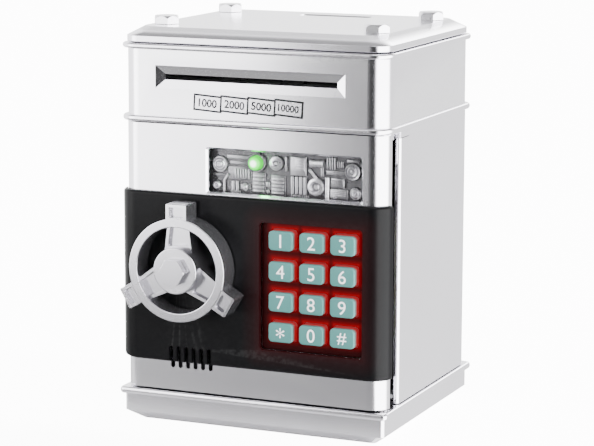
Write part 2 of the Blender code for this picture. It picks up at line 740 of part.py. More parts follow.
def keys():
    made = []
    for label, (x, z) in zip(KEY_NAMES, key_places()):
        loop = (x - KEY_WIDTH / 2, z - KEY_HEIGHT / 2, x + KEY_WIDTH / 2, z + KEY_HEIGHT / 2)
        layers = [
            (KEY_BACK, 0.7 * MM),
            (KEY_BACK - 1.0 * MM, 0.7 * MM),
            (KEY_BACK - 1.0 * MM, 0.0),
            (KEY_FRONT + 0.9 * MM, -0.1 * MM),
            (KEY_FRONT, -0.9 * MM),
        ]
        name = f"key_{label}"
        outlines = [(y, rounded(*loop, 1.4 * MM, grow, 2)) for y, grow in layers]
        made.append(stacked(name, "Y", outlines, TEAL))
    return made


def keypad_board():
    made = box_mm("keypad_board", (7.4, -54.3, 43.9), (58.0, -52.9, 103.9), BOARD)
    return join(
        made,
        box_mm("keypad_chip", (26, -53.2, 66), (36, -51.5, 76)),
        box_mm("keypad_plug", (12, -53.2, 54), (20, -50.9, 58)),
    )


def speaker():
    centre = (-31.4 * MM, 41.0 * MM)
    made = rod("speaker", "Y", centre, 14.0 * MM, -56.2 * MM, -54.0 * MM, BLACK, sides=36)
    return join(made, rod("speaker_magnet", "Y", centre, 8.5 * MM, -54.5 * MM, -50.6 * MM, sides=28))


def inner_cover():
    made = box_mm("inner_cover", (-64.5, -50.2, 20.2), (56.4, -48.6, 144.8), GREY)
    join(made, box("cover_box", (-54 * MM, -50.2 * MM, 26 * MM), (53 * MM, COVER_REAR, 139 * MM)))
    return cut(
        made,
        box_mm("cover_hollow", (-52.2, -60, 27.8), (51.2, -34.8, 137.2)),
        rod("spindle_hole_cover", "Y", (WHEEL_X, WHEEL_Z), 3.4 * MM, -0.04, -0.03),
    )


def solenoid():
    made = box_mm("solenoid", (-17, -50.0, 73.4), (10, -38.9, 86.4), STEEL)
    bore = rod("solenoid_bore", "X", (PLUNGER_Y, WHEEL_Z), 2.3 * MM, -0.03, 6 * MM, sides=20)
    return cut(made, bore)


def plunger():
    ends = (-19.3 * MM, 1.5 * MM)
    return rod("lock_plunger", "X", (PLUNGER_Y, WHEEL_Z), 1.9 * MM, *ends, STEEL, sides=20)


# ---------------------------------------------------------------- hand wheel


def wheel_hub_angles():
    return [radians(a) for a in (90, 210, 330)]


def radial_box(name, angle, inner, outer, width, low_y, high_y):
    """A box that points away from the wheel's axis at an angle, seen from the front."""
    work = bmesh.new()
    bmesh.ops.create_cube(work, size=1.0)
    bmesh.ops.scale(work, vec=(outer - inner, high_y - low_y, width), verts=work.verts)
    bmesh.ops.translate(work, vec=((inner + outer) / 2, (low_y + high_y) / 2, 0.0), verts=work.verts)
    bmesh.ops.rotate(work, matrix=Matrix.Rotation(-angle, 3, "Y"), verts=work.verts)
    bmesh.ops.translate(work, vec=(WHEEL_X, 0.0, WHEEL_Z), verts=work.verts)
    return add(name, tidy_mesh(name, work), None)


def hand_wheel():
    centre = (WHEEL_X, WHEEL_Z)
    made = rod("hand_wheel", "Y", centre, RING_OUTER, RING_FRONT, RING_BACK, SILVER, sides=64)
    cut(made, rod("ring_hole", "Y", centre, RING_INNER, -0.08, -0.05, sides=64))
    join(made, rod("wheel_hub", "Y", centre, HUB_RADIUS, HUB_FRONT, RING_BACK + 0.4 * MM, sides=40))
    for i, angle in enumerate(wheel_hub_angles()):
        join(
            made,
            radial_box(f"spoke_{i}", angle, 8 * MM, 23 * MM, 8.4 * MM, -72.2 * MM, -64.0 * MM),
            radial_box(f"lug_{i}", angle, 23 * MM, LUG_OUTER, LUG_WIDTH, RING_FRONT, -63.4 * MM),
        )
        trough = radial_box(f"trough_{i}", angle, 11.5 * MM, 20.6 * MM, 5.2 * MM, -0.08, -69.6 * MM)
        cut(made, trough)
    return cut(made, rod("hub_bore", "Y", centre, SPINDLE + GAP, -0.09, -0.05, sides=32))


def lock_spindle():
    """The hexagon-headed shaft, with the notched lock cam moulded on it."""
    centre = (WHEEL_X, WHEEL_Z)
    head = shifted(hexagon(HEX_FLATS, 0.0), *centre)
    face = shifted(hexagon(HEX_FLATS - 1.2 * MM, 0.0), *centre)
    seat = HUB_FRONT - GAP
    layers = [(seat, head), (HEX_FRONT + 0.6 * MM, head), (HEX_FRONT, face)]
    made = stacked("lock_spindle", "Y", layers, SILVER)
    join(
        made,
        rod("spindle_shaft", "Y", centre, SPINDLE, seat - 1 * MM, -29.0 * MM, sides=28),
        rod("lock_cam", "Y", centre, CAM_RADIUS, -46.0 * MM, -43.0 * MM, sides=48),
    )
    notches = ((0.0, "rest"), (-pi / 2, "locked"))
    for angle, name in notches:
        cut(made, radial_box(f"cam_notch_{name}", angle, 8 * MM, 15 * MM, 5.2 * MM, -0.05, -0.04))
    return made


def latch_arm():
    centre = (WHEEL_X, WHEEL_Z)
    made = rod("latch_arm", "Y", centre, 7.0 * MM, -32.4 * MM, -30.4 * MM, STEEL, sides=32)
    join(made, radial_box("arm_bar", pi / 2, 2 * MM, ARM_LENGTH, 8.0 * MM, -32.4 * MM, -30.4 * MM))
    return cut(made, rod("arm_bore", "Y", centre, SPINDLE + GAP, -0.04, -0.02, sides=28))


# ---------------------------------------------------------------- assembly

case = axis_empty("case_frame", (0, 0, 0))
hinge = axis_empty("door_hinge_axis", (HINGE_X, HINGE_Y, 0))
lock = axis_empty("lock_axis", (WHEEL_X, -60 * MM, WHEEL_Z), hinge)
drive = axis_empty("drive_axis", (0, ROLLER_Y, DRIVE_Z), case)
pinch = axis_empty("pinch_axis", (0, ROLLER_Y, PINCH_Z), case)
idler = axis_empty("idler_axis", (0, IDLER_Y, DRIVE_Z), case)
motor = axis_empty("motor_axis", (0, MOTOR_Y, DRIVE_Z), case)

fixed = [base_pan(), body_shell(), upper_housing(), roof_lid(), *roof_bolts()]
fixed += [vault_floor(), feeder_deck(), coin_chute(), *battery_pieces(), *foot_pads()]
fixed += [*hinge_pins(), latch_strike(), *feeder_frame(), *note_guides(), note_chute()]
fixed += [feed_motor(), control_board()]
for piece in fixed:
    hang(piece, case)

# Each gear is turned so that a tooth of one faces a gap of the next
idler_phase = pi + pi / IDLER_TEETH
hang(roller("drive_roller", DRIVE_Z, 57.5 * MM), drive)
hang(gear("drive_gear", DRIVE_TEETH, 0.0, ROLLER_Y, 1.8 * MM), drive)
hang(roller("pinch_roller", PINCH_Z, 51.2 * MM), pinch)
hang(gear("idler_gear", IDLER_TEETH, idler_phase, IDLER_Y, 1.8 * MM), idler)
pinion = gear("motor_pinion", PINION_TEETH, pi, MOTOR_Y, 0.0)
shaft = rod("pinion_shaft", "X", (MOTOR_Y, DRIVE_Z), 1.0 * MM, 48.0 * MM, 57.0 * MM, sides=16)
hang(join(pinion, shaft), motor)

door = [door_shell(), front_panel(), window_lens(), relief_panel(), status_led()]
door += [keypad_bezel(), keypad_board(), speaker(), inner_cover(), solenoid()]
for piece in door:
    hang(piece, hinge)
for piece in (hand_wheel(), lock_spindle(), latch_arm()):
    hang(piece, lock)
hang(plunger(), hinge, (-17 * MM, PLUNGER_Y, WHEEL_Z))
for piece, (x, z) in zip(keys(), key_places()):
    hang(piece, hinge, (x, -60.0 * MM, z))
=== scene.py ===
# %% [markdown]
# # A toy safe with a keypad, a hand wheel and a banknote mouth
# This lesson dresses a packed mechanical model of a toy savings bank. The model
# already fixes every size, hinge and button. The cells below give it its looks:
# clean moulded shells with real edge rounding, and a procedural finish for each
# kind of plastic, metal and rubber. Each step says what the piece is on the real
# toy, how it could be made, and why it is made this way.

import json
import math

import bmesh
import bpy
from mathutils import Matrix, Vector


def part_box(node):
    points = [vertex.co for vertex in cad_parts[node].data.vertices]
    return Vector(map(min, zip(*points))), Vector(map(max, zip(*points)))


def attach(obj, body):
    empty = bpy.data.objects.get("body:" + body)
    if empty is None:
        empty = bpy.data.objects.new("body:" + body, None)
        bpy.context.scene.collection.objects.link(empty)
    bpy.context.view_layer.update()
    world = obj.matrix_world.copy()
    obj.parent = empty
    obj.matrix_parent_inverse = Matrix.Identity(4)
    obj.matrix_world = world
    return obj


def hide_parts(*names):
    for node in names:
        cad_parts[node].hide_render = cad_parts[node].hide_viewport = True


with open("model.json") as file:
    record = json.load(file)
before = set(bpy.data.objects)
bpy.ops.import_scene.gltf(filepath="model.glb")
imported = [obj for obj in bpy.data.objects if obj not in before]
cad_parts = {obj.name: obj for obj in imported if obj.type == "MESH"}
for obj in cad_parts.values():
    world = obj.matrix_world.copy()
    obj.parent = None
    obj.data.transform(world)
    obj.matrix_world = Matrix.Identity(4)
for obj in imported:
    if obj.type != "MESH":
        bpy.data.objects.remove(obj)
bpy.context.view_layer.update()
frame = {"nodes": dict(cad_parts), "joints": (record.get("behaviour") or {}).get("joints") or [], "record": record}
MM = 0.001

# %% [markdown]
# ## The camera
# The toy is seen from a little above and from its right front, through a long
# lens, so its upright edges stay nearly parallel. A long lens far away is chosen
# over a short one near by, because perspective is what gives the size away.

# %% Place the camera
AIM = Vector((-1.37, 0.0, 93.25)) * MM
TURN_RIGHT = math.radians(23.25)
LOOK_DOWN = math.radians(10.02)
ROLL = math.radians(0.16)
DISTANCE = 1188.95 * MM
away = Vector((
    math.sin(TURN_RIGHT) * math.cos(LOOK_DOWN),
    -math.cos(TURN_RIGHT) * math.cos(LOOK_DOWN),
    math.sin(LOOK_DOWN),
))
lens = bpy.data.cameras.new("camera")
lens.lens = 145.08
lens.sensor_width = 36.0
lens.clip_start = 0.01
camera = bpy.data.objects.new("camera", lens)
bpy.context.scene.collection.objects.link(camera)
camera.location = AIM + away * DISTANCE
look = (-away).to_track_quat("-Z", "Y").to_matrix() @ Matrix.Rotation(ROLL, 3, "Z")
camera.rotation_euler = look.to_euler()
bpy.context.scene.camera = camera
print("camera at", [round(v, 3) for v in camera.location])

# %% [markdown]
# ## Node helpers
# Each finish is a small network of nodes. These helpers make a node, set it and
# wire it in one call, so that a finish reads as a short recipe.


# %% Wiring helpers
def add_node(tree, kind, inputs=None, **settings):
    """A new node. An input may be a plain value or the output of another node."""
    made = tree.nodes.new(kind)
    for key, value in settings.items():
        setattr(made, key, value)
    for key, value in (inputs or {}).items():
        if isinstance(value, bpy.types.NodeSocket):
            tree.links.new(value, made.inputs[key])
        else:
            made.inputs[key].default_value = value
    return made


def sums(tree, how, *values):
    """A Math node's result."""
    return add_node(tree, "ShaderNodeMath", dict(enumerate(values)), operation=how).outputs[0]


def ramp(tree, factor, *stops, smooth=False):
    """A colour ramp through (place, grey or colour) stops."""
    made = add_node(tree, "ShaderNodeValToRGB", {"Fac": factor})
    band = made.color_ramp
    band.interpolation = "EASE" if smooth else "LINEAR"
    while len(band.elements) < len(stops):
        band.elements.new(0.5)
    for element, (place, tone) in zip(band.elements, stops):
        element.position = place
        colour = tone if isinstance(tone, tuple) else (tone, tone, tone)
        element.color = (*colour, 1.0)
    return made.outputs["Color"]


def blended(tree, factor, a, b, how="MIX"):
    """A colour between a and b, or another way of laying b over a."""
    made = add_node(tree, "ShaderNodeMix", data_type="RGBA", blend_type=how)
    for place, value in ((0, factor), (6, a), (7, b)):
        if isinstance(value, bpy.types.NodeSocket):
            tree.links.new(value, made.inputs[place])
        else:
            made.inputs[place].default_value = value
    return made.outputs[2]


def place_of(tree):
    """The object coordinates of a point, split into X, Y and Z."""
    where = add_node(tree, "ShaderNodeTexCoord").outputs["Object"]
    return add_node(tree, "ShaderNodeSeparateXYZ", {0: where}).outputs


def length_of(tree, a, b):
    """The length of the step (a, b)."""
    squares = sums(tree, "ADD", sums(tree, "MULTIPLY", a, a), sums(tree, "MULTIPLY", b, b))
    return sums(tree, "POWER", squares, 0.5)


# %% [markdown]
# ## A room made of light
# Silver plastic shows its surroundings more than its own colour. In a studio the
# toy stands between white cards and dark gaps: a grey card before the door, a
# dark gap beside the camera, and a broad bright card off to the right. Standing
# lamps could do it, but a world whose brightness depends on the compass
# direction gives the same soft bands with no noise.

# %% World light
world = bpy.data.worlds.new("studio")
bpy.context.scene.world = world
world.use_nodes = True
sky = world.node_tree
sky.nodes.clear()
direction = add_node(sky, "ShaderNodeTexCoord").outputs["Generated"]
parts = add_node(sky, "ShaderNodeSeparateXYZ", {0: direction}).outputs
compass = sums(sky, "ARCTAN2", parts["X"], sums(sky, "MULTIPLY", parts["Y"], -1.0))
round_turn = sums(sky, "MULTIPLY_ADD", compass, 1 / (2 * math.pi), 0.5)


def bearing(degrees):
    """A compass bearing, counted from the door's front to the right, as a place on the ramp."""
    return degrees / 360 + 0.5


def card(degrees, brightness):
    """A ramp stop: how bright the room is in one direction, as a share of its brightest."""
    return bearing(degrees), brightness / BRIGHTEST


BRIGHTEST = 13.0
cards = ramp(
    sky, round_turn,
    card(-180, 2.2), card(-165, 3.4), card(-110, 3.6), card(-50, 4.2), card(-34, 2.2),
    card(-24, 0.35), card(-6, 0.12), card(0, 0.05), card(27, 0.05),
    card(35, BRIGHTEST), card(104, BRIGHTEST), card(116, 2.2), card(180, 2.2),
)
behind = ramp(
    sky, round_turn,
    (0.0, 1.0), (bearing(-172), 1.0), (bearing(-163), 0.0),
    (bearing(160), 0.0), (bearing(172), 1.0), (1.0, 1.0),
)
strip_height = ramp(sky, parts["Z"], (0.26, 0.0), (0.34, 1.0), (0.52, 1.0), (0.64, 0.0))
strip = sums(sky, "MULTIPLY", behind, strip_height)
ceiling = ramp(sky, parts["Z"], (0.45, 0.0), (0.75, 1.0), smooth=True)
with_strip = blended(sky, strip, cards, (1.0, 1.0, 1.0, 1.0))
below_zenith = blended(sky, ceiling, with_strip, (0.045, 0.045, 0.045, 1.0))
zenith = ramp(sky, parts["Z"], (0.955, 0.0), (0.975, 1.0))
room = blended(sky, zenith, below_zenith, (0.4, 0.4, 0.4, 1.0))
lit_room = add_node(sky, "ShaderNodeBackground", {"Color": room, "Strength": BRIGHTEST}).outputs[0]

# %% [markdown]
# The backdrop itself should be plain white, though the cards that the toy
# mirrors are not. The light path tells a ray that comes straight from the
# camera from one that has already met the toy, so each gets its own answer.

# %% Backdrop
seen_directly = add_node(sky, "ShaderNodeLightPath").outputs["Is Camera Ray"]
white_wall = add_node(sky, "ShaderNodeBackground", {"Color": (1, 1, 1, 1), "Strength": BRIGHTEST}).outputs[0]
either = add_node(sky, "ShaderNodeMixShader", {0: seen_directly, 1: lit_room, 2: white_wall}).outputs[0]
add_node(sky, "ShaderNodeOutputWorld", {"Surface": either})
print("world nodes", len(sky.nodes))

# %% [markdown]
# ## One near card, the floor and a grey card on it
# A card close to the door does what a far one can't: along the door, its mirror
# image slides, so the silver runs from light on the left to dark on the right.
# The floor is white paper that glows evenly, so the toy's shadow on it washes out. It is hidden from the toy's
# mirror and from bounced light by its visibility settings, and a grey card that lies before the door takes its
# place there, hidden from the camera instead.

# %% Lamp, floor and grey card
shape = bpy.data.lights.new("card_left", "AREA")
shape.shape = "RECTANGLE"
shape.size, shape.size_y, shape.energy = 0.82, 0.7, 9.0
lamp = bpy.data.objects.new("card_left", shape)
bpy.context.scene.collection.objects.link(lamp)
lamp.location = (-0.58, -0.47, 0.27)
lamp.rotation_euler = (math.radians(90), 0, 0)


def sheet_of_paper(name, centre, radius, tone, glow=0.0):
    """A flat disc that belongs to the studio, not to the toy. Its place is in its mesh."""
    for chosen in bpy.context.selected_objects:
        chosen.select_set(False)
    bpy.ops.mesh.primitive_circle_add(vertices=96, radius=radius, fill_type="NGON", location=centre)
    disc = bpy.context.active_object
    disc.name = name
    bpy.ops.object.transform_apply(location=True)
    paper = bpy.data.materials.new(name)
    paper.use_nodes = True
    shader = paper.node_tree.nodes["Principled BSDF"]
    shader.inputs["Base Color"].default_value = (tone, tone, tone, 1)
    shader.inputs["Roughness"].default_value = 0.9
    shader.inputs["Emission Color"].default_value = (1, 1, 1, 1)
    shader.inputs["Emission Strength"].default_value = glow
    disc.data.materials.append(paper)
    return disc


floor = sheet_of_paper("floor", (0, 0, -0.0004), 5.0, 0.8, 11.0)
floor.visible_glossy = floor.visible_diffuse = floor.visible_transmission = False
grey_card = sheet_of_paper("grey_card", (-0.17, -0.26, -0.0002), 0.31, 0.16)
grey_card.visible_camera = False
tree = grey_card.data.materials[0].node_tree
forwards = place_of(tree)["Y"]
near_door = sums(tree, "MULTIPLY_ADD", forwards, 1 / 0.3, 1.0)
# The card's tone is painted light: it is lighter near the door, where the toy's shadow would darken it.
painted_light_near_door = ramp(tree, near_door, (0.55, 0.14), (0.68, 0.28), (0.76, 0.6))
tree.links.new(painted_light_near_door, tree.nodes["Principled BSDF"].inputs["Base Color"])
print("floor and grey card laid")

# %% [markdown]
# ## Small tools for the bench
# Every operator in Blender acts on whatever is selected, and the frame leaves
# its own pieces selected. So each helper first clears the selection, and then
# picks faces or edges by where they are, never by their number in a list.


# %% Selecting and shaping
def deselect():
    for other in bpy.context.selected_objects:
        other.select_set(False)


def activate(piece):
    deselect()
    piece.select_set(True)
    bpy.context.view_layer.objects.active = piece


def smooth_shade(piece, angle):
    """Shades every edge flatter than the angle smooth."""
    activate(piece)
    bpy.ops.object.shade_smooth_by_angle(angle=math.radians(angle))


def settle(piece, name):
    """Names a fresh primitive and bakes its place and size into its mesh."""
    piece.name = piece.data.name = name
    activate(piece)
    bpy.ops.object.transform_apply(location=True, rotation=True, scale=True)
    return piece


def block(name, low, high):
    deselect()
    low, high = Vector(low), Vector(high)
    bpy.ops.mesh.primitive_cube_add(size=1, location=(low + high) / 2, scale=high - low)
    return settle(bpy.context.active_object, name)


TURNS = {"X": (0, math.pi / 2, 0), "Y": (math.pi / 2, 0, 0), "Z": (0, 0, 0)}


def drum(name, axis, centre, radius, length, sides=64, tip=None):
    """A cylinder or, with a tip radius, a cone, centred on a point."""
    deselect()
    bpy.ops.mesh.primitive_cone_add(
        vertices=sides, radius1=radius, radius2=radius if tip is None else tip, depth=length,
        location=centre, rotation=TURNS[axis],
    )
    return settle(bpy.context.active_object, name)


def pick(piece, kind, test):
    """Goes into edit mode with only the vertices, edges or faces that pass the test selected."""
    activate(piece)
    bpy.ops.object.mode_set(mode="EDIT")
    bpy.ops.mesh.select_mode(type=kind)
    bpy.ops.mesh.select_all(action="DESELECT")
    mesh = bmesh.from_edit_mesh(piece.data)
    for item in {"VERT": mesh.verts, "EDGE": mesh.edges, "FACE": mesh.faces}[kind]:
        if test(item):
            item.select_set(True)
    mesh.select_flush_mode()
    bmesh.update_edit_mesh(piece.data)


def leave_edit():
    bpy.ops.object.mode_set(mode="OBJECT")


def middle(item):
    """The middle of an edge or a face."""
    points = [v.co for v in item.verts]
    return sum(points, Vector()) / len(points)


def runs_along(edge, axis):
    """True for an edge that runs along axis 0, 1 or 2."""
    step = edge.verts[0].co - edge.verts[1].co
    return abs(step[axis]) > 0.999 * step.length


def round_edges(piece, test, width, segments=6):
    pick(piece, "EDGE", test)
    bpy.ops.mesh.bevel(offset=width, offset_type="OFFSET", segments=segments, affect="EDGES")
    leave_edit()
    return piece


def apply_modifier(piece, kind, **settings):
    modifier = piece.modifiers.new(kind.title(), kind)
    for key, value in settings.items():
        setattr(modifier, key, value)
    activate(piece)
    bpy.ops.object.modifier_apply(modifier=modifier.name)
    return piece


def carve(piece, *tools, how="DIFFERENCE"):
    """Cuts each tool out of the piece, or joins it on, and throws the tool away."""
    for tool in tools:
        apply_modifier(piece, "BOOLEAN", object=tool, operation=how, solver="EXACT")
        bpy.data.objects.remove(tool, do_unlink=True)
    return piece


def weld(piece, *others):
    return carve(piece, *others, how="UNION")


def soften(piece, width=0.3 * MM, segments=2, angle=32, crisp=None):
    """
    Breaks the sharp edges, as every moulded edge is broken, and shades round stretches smooth.
    crisp picks shallow edges that must still read as edges.
    """
    apply_modifier(piece, "WELD", merge_threshold=1e-6)
    apply_modifier(
        piece, "BEVEL", width=width, segments=segments, limit_method="ANGLE",
        angle_limit=math.radians(angle), harden_normals=False, miter_outer="MITER_ARC",
    )
    smooth_shade(piece, angle)
    if crisp:
        pick(piece, "EDGE", crisp)
        bpy.ops.mesh.mark_sharp()
        leave_edit()
    apply_modifier(piece, "WEIGHTED_NORMAL", keep_sharp=True, weight=80)
    return piece


# %% [markdown]
# ## The case outline
# The whole bank is built on one rounded rectangle. A plane whose four corners
# are bevelled gives it, and extruding that face upwards, scaled out a little
# for a rim bead or in for a chamfer, lays the case up in courses like masonry.

# %% Case sizes, read from the frame
shell_low, shell_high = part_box("body_shell")
base_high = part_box("base_pan")[1]
housing_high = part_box("upper_housing")[1]
roof_low, roof_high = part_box("roof_lid")
door_low, door_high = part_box("door_shell")
HALF_W = shell_high.x
HALF_D = shell_high.y
CORNER = 9.0 * MM
LEFT_WALL_FRONT, RIGHT_WALL_FRONT = -49.7 * MM, -39.4 * MM
BEAD = base_high.x - HALF_W
HINGE = Vector(frame["joints"][0]["pos_m"])
print("half width", HALF_W, "half depth", HALF_D, "bead", BEAD)


# %% [markdown]
# ## Courses
# The plane is bevelled once, then pushed up through each height and scaled to
# each growth. What comes out is closed, so a Boolean can cut it.

# %% Laying up courses
def courses(name, steps, segments=14):
    """A closed solid through (height, growth) steps of the case outline."""
    deselect()
    bpy.ops.mesh.primitive_plane_add(size=1, location=(0, 0, steps[0][0]))
    piece = bpy.context.active_object
    grow = steps[0][1]
    piece.scale = (2 * (HALF_W + grow), 2 * (HALF_D + grow), 1)
    settle(piece, name)
    pick(piece, "VERT", lambda v: True)
    radius = max(CORNER + grow, 0.5 * MM)
    bpy.ops.mesh.bevel(offset=radius, segments=segments, affect="VERTICES")
    height = steps[0][0]
    for next_height, next_grow in steps[1:]:
        bpy.ops.mesh.extrude_region_move(
            TRANSFORM_OT_translate={"value": (0, 0, next_height - height), "orient_type": "GLOBAL"}
        )
        wider = ((HALF_W + next_grow) / (HALF_W + grow), (HALF_D + next_grow) / (HALF_D + grow), 1)
        bpy.ops.transform.resize(value=wider)
        height, grow = next_height, next_grow
    bpy.ops.mesh.select_all(action="SELECT")
    bpy.ops.mesh.normals_make_consistent(inside=False)
    leave_edit()
    return piece


def bead_steps(low, high, count=8):
    """A full, slightly squared bead between two heights."""
    centre, half = (low + high) / 2, (high - low) / 2
    turns = [math.radians(-80 + 160 * i / count) for i in range(count + 1)]
    return [(centre + half * math.sin(t), BEAD * math.cos(t) ** 0.45) for t in turns]


def outline_tool(name, low_z, high_z, grow):
    return courses(name, [(low_z, grow), (high_z, grow)])


# %% [markdown]
# ## Base, walls, housing and roof
# Each shell is one moulding on the real toy: a solid of courses with its inside
# carved away. The base carries one bead and a chamfered foot, the housing two
# beads and the funnel for notes, and the roof a broad chamfer.

# %% Base
FOOT_INSET = 6.8 * MM
FOOT_CHAMFER = 4.9 * MM
WALL = 2.8 * MM
bead_low = base_high.z - 3.4 * MM
base = courses(
    "base_moulding",
    [(0.0, -FOOT_INSET), (FOOT_CHAMFER, 0.0), (bead_low, 0.0)] + bead_steps(bead_low, base_high.z),
)
cell_low, cell_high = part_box("battery_door")
pad_low, pad_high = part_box("foot_pad_left")
GAP = 0.3 * MM
carve(
    base,
    courses("base_inside", [(3 * MM, -FOOT_INSET + 1 * MM), (6 * MM, -WALL), (base_high.z + 5 * MM, -WALL)]),
    block("cell_way", (cell_low.x + 1.6 * MM, cell_low.y + 0.8 * MM, -0.01),
          (cell_high.x - 1.6 * MM, cell_high.y - 0.8 * MM, 0.01)),
    block("cell_recess", (cell_low.x - GAP, cell_low.y - GAP, -0.01),
          (cell_high.x + GAP, cell_high.y + GAP, 1.8 * MM)),
)
for side in (1, -1):
    ends = sorted((side * (pad_low.x - GAP), side * (pad_high.x + GAP)))
    pocket_low, pocket_high = (ends[0], pad_low.y - GAP, -0.01), (ends[1], pad_high.y + GAP, 1.5 * MM)
    carve(base, block("pad_pocket", pocket_low, pocket_high))
post = drum("hinge_post", "Z", (HINGE.x, HINGE.y, 11 * MM), 4.6 * MM, 11 * MM, 32)
weld(base, post)
carve(base, drum("pin_way", "Z", (HINGE.x, HINGE.y, 18 * MM), 1.5 * MM, 20 * MM, 24))
soften(base, 0.35 * MM)
print("base", len(base.data.polygons), "faces")

# %% [markdown]
# ## The walls
# The walls are one upright tube. They stop behind the door, further back on the
# hinge side, and a notch lets in the lug that holds the upper pin.

# %% Walls
walls = outline_tool("body_walls", shell_low.z, shell_high.z, 0.0)
carve(
    walls,
    outline_tool("walls_inside", 0.0, 0.2, -WALL),
    block("left_front", (-0.09, -0.09, 0), (0, LEFT_WALL_FRONT, 0.2)),
    block("right_front", (-0.001, -0.09, 0), (0.09, RIGHT_WALL_FRONT, 0.2)),
    block("lug_notch", (56 * MM, -50 * MM, 144.7 * MM), (0.09, -28.7 * MM, 0.16)),
)


def at_right_front(edge):
    """The upright outer edge at the front of the right wall."""
    spot, close = middle(edge), 0.1 * MM
    return runs_along(edge, 2) and spot.x > HALF_W - close and abs(spot.y - RIGHT_WALL_FRONT) < close


round_edges(walls, at_right_front, 1.8 * MM)
soften(walls, 0.25 * MM)
print("walls", len(walls.data.polygons), "faces")

# %% [markdown]
# ## The housing and its mouth
# The mouth is a shallow funnel. Its walls meet at angles that shading would
# smooth away, so the edges of the funnel are marked sharp.

# %% Upper housing with the note funnel
mouth_outer = Vector((-50.0, 164.6, 0)) * MM, Vector((47.8, 175.6, 0)) * MM
mouth_inner = Vector((-45.3, 168.8, 0)) * MM, Vector((43.4, 171.5, 0)) * MM
MOUTH_DEEP = -57.2 * MM
band_low = shell_high.z + GAP
band_high = housing_high.z
housing = courses(
    "upper_housing_moulding",
    bead_steps(band_low, band_low + 3.0 * MM)
    + [(band_low + 3.0 * MM, 0.0), (band_high - 2.7 * MM, 0.0)]
    + bead_steps(band_high - 2.7 * MM, band_high),
)
carve(housing, outline_tool("housing_inside", 0.14, 0.2, -2.5 * MM))
weld(
    housing,
    block("lug_web", (52 * MM, -56.8 * MM, 148.3 * MM), (66.5 * MM, -28 * MM, 150.2 * MM)),
    block("lug_rear", (57 * MM, RIGHT_WALL_FRONT, 145 * MM), (HALF_W, -29 * MM, 149 * MM)),
    drum("lug_eye", "Z", (HINGE.x, HINGE.y, 147.25 * MM), 5 * MM, 4.5 * MM, 40),
    block("lug_neck", (57.5 * MM, -47.5 * MM, 145 * MM), (62.9 * MM, -39 * MM, 149 * MM)),
    block("mouth_block", (-53 * MM, -57.5 * MM, 162 * MM), (50.8 * MM, -53.4 * MM, 178 * MM)),
)


def funnel(name, outer, inner, front, deep):
    """A frustum that narrows from its outer rectangle at the front to its inner one."""
    tool = block(name, (outer[0].x, front, outer[0].y), (outer[1].x, deep, outer[1].y))
    for corner in tool.data.vertices:
        if corner.co.y > (front + deep) / 2:
            corner.co.x = inner[0].x if corner.co.x < 0 else inner[1].x
            corner.co.z = inner[0].y if corner.co.z < (outer[0].y + outer[1].y) / 2 else inner[1].y
    return tool


carve(
    housing,
    block(
        "mouth_front", (mouth_outer[0].x, -0.07, mouth_outer[0].y),
        (mouth_outer[1].x, -HALF_D + 1e-5, mouth_outer[1].y),
    ),
    funnel("mouth_funnel", mouth_outer, mouth_inner, -HALF_D, MOUTH_DEEP),
    block(
        "mouth_slot", (mouth_inner[0].x, -0.058, mouth_inner[0].y),
        (mouth_inner[1].x, -0.05, mouth_inner[1].y),
    ),
    drum("lug_pin_way", "Z", (HINGE.x, HINGE.y, 148 * MM), 1.5 * MM, 20 * MM, 24),
)


def at_mouth(edge):
    """An edge of the funnel's own four walls."""
    return all(
        v.co.y < MOUTH_DEEP + 1e-5 and mouth_outer[0].x - 1e-5 < v.co.x < mouth_outer[1].x + 1e-5
        and mouth_outer[0].y - 1e-5 < v.co.z < mouth_outer[1].y + 1e-5
        for v in edge.verts
    )


soften(housing, 0.22 * MM, crisp=at_mouth)
print("housing", len(housing.data.polygons), "faces")

# %% [markdown]
# ## The roof
# The roof slopes in from its edge. Its coin slot lies in a shallow dish, which
# leads a coin to the slot.

# %% Roof
roof_edge = 189.2 * MM
roof = courses(
    "roof_moulding",
    [(roof_low.z, -0.4 * MM), (roof_low.z + 0.4 * MM, 0.0), (roof_edge, 0.0), (roof_high.z, -FOOT_INSET)],
)
chute_low, chute_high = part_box("coin_chute")
slot_low = Vector((chute_low.x + 1.4 * MM, chute_low.y + 1.4 * MM, 0.18))
slot_high = Vector((chute_high.x - 1.4 * MM, chute_high.y - 1.4 * MM, 0.2))
dish = block("coin_dish", (slot_low.x - 3 * MM, slot_low.y - 3 * MM, roof_high.z - 1 * MM),
             (slot_high.x + 3 * MM, slot_high.y + 3 * MM, roof_high.z + 1 * MM))
for corner in dish.data.vertices:
    if corner.co.z < roof_high.z:
        corner.co.x += math.copysign(2.4 * MM, slot_low.x + slot_high.x - 2 * corner.co.x)
        corner.co.y += math.copysign(2.4 * MM, slot_low.y + slot_high.y - 2 * corner.co.y)


def on_dish_side(edge):
    return runs_along(edge, 2) or abs(edge.verts[0].co.z - edge.verts[1].co.z) > 1e-4


carve(
    roof,
    courses("roof_inside", [(0.18, -2.5 * MM), (188 * MM, -2.5 * MM), (191 * MM, -FOOT_INSET - 2 * MM)]),
    round_edges(dish, on_dish_side, 1 * MM, 4),
    block("coin_way", slot_low, slot_high),
)
soften(roof, 0.35 * MM)
print("roof", len(roof.data.polygons), "faces")

# %% [markdown]
# ## The door
# The door is a tray: a front skin that wraps a little round both corners, with a
# window, a keypad opening and a row of speaker slots. It is carved from one
# solid so that its skin keeps one thickness.

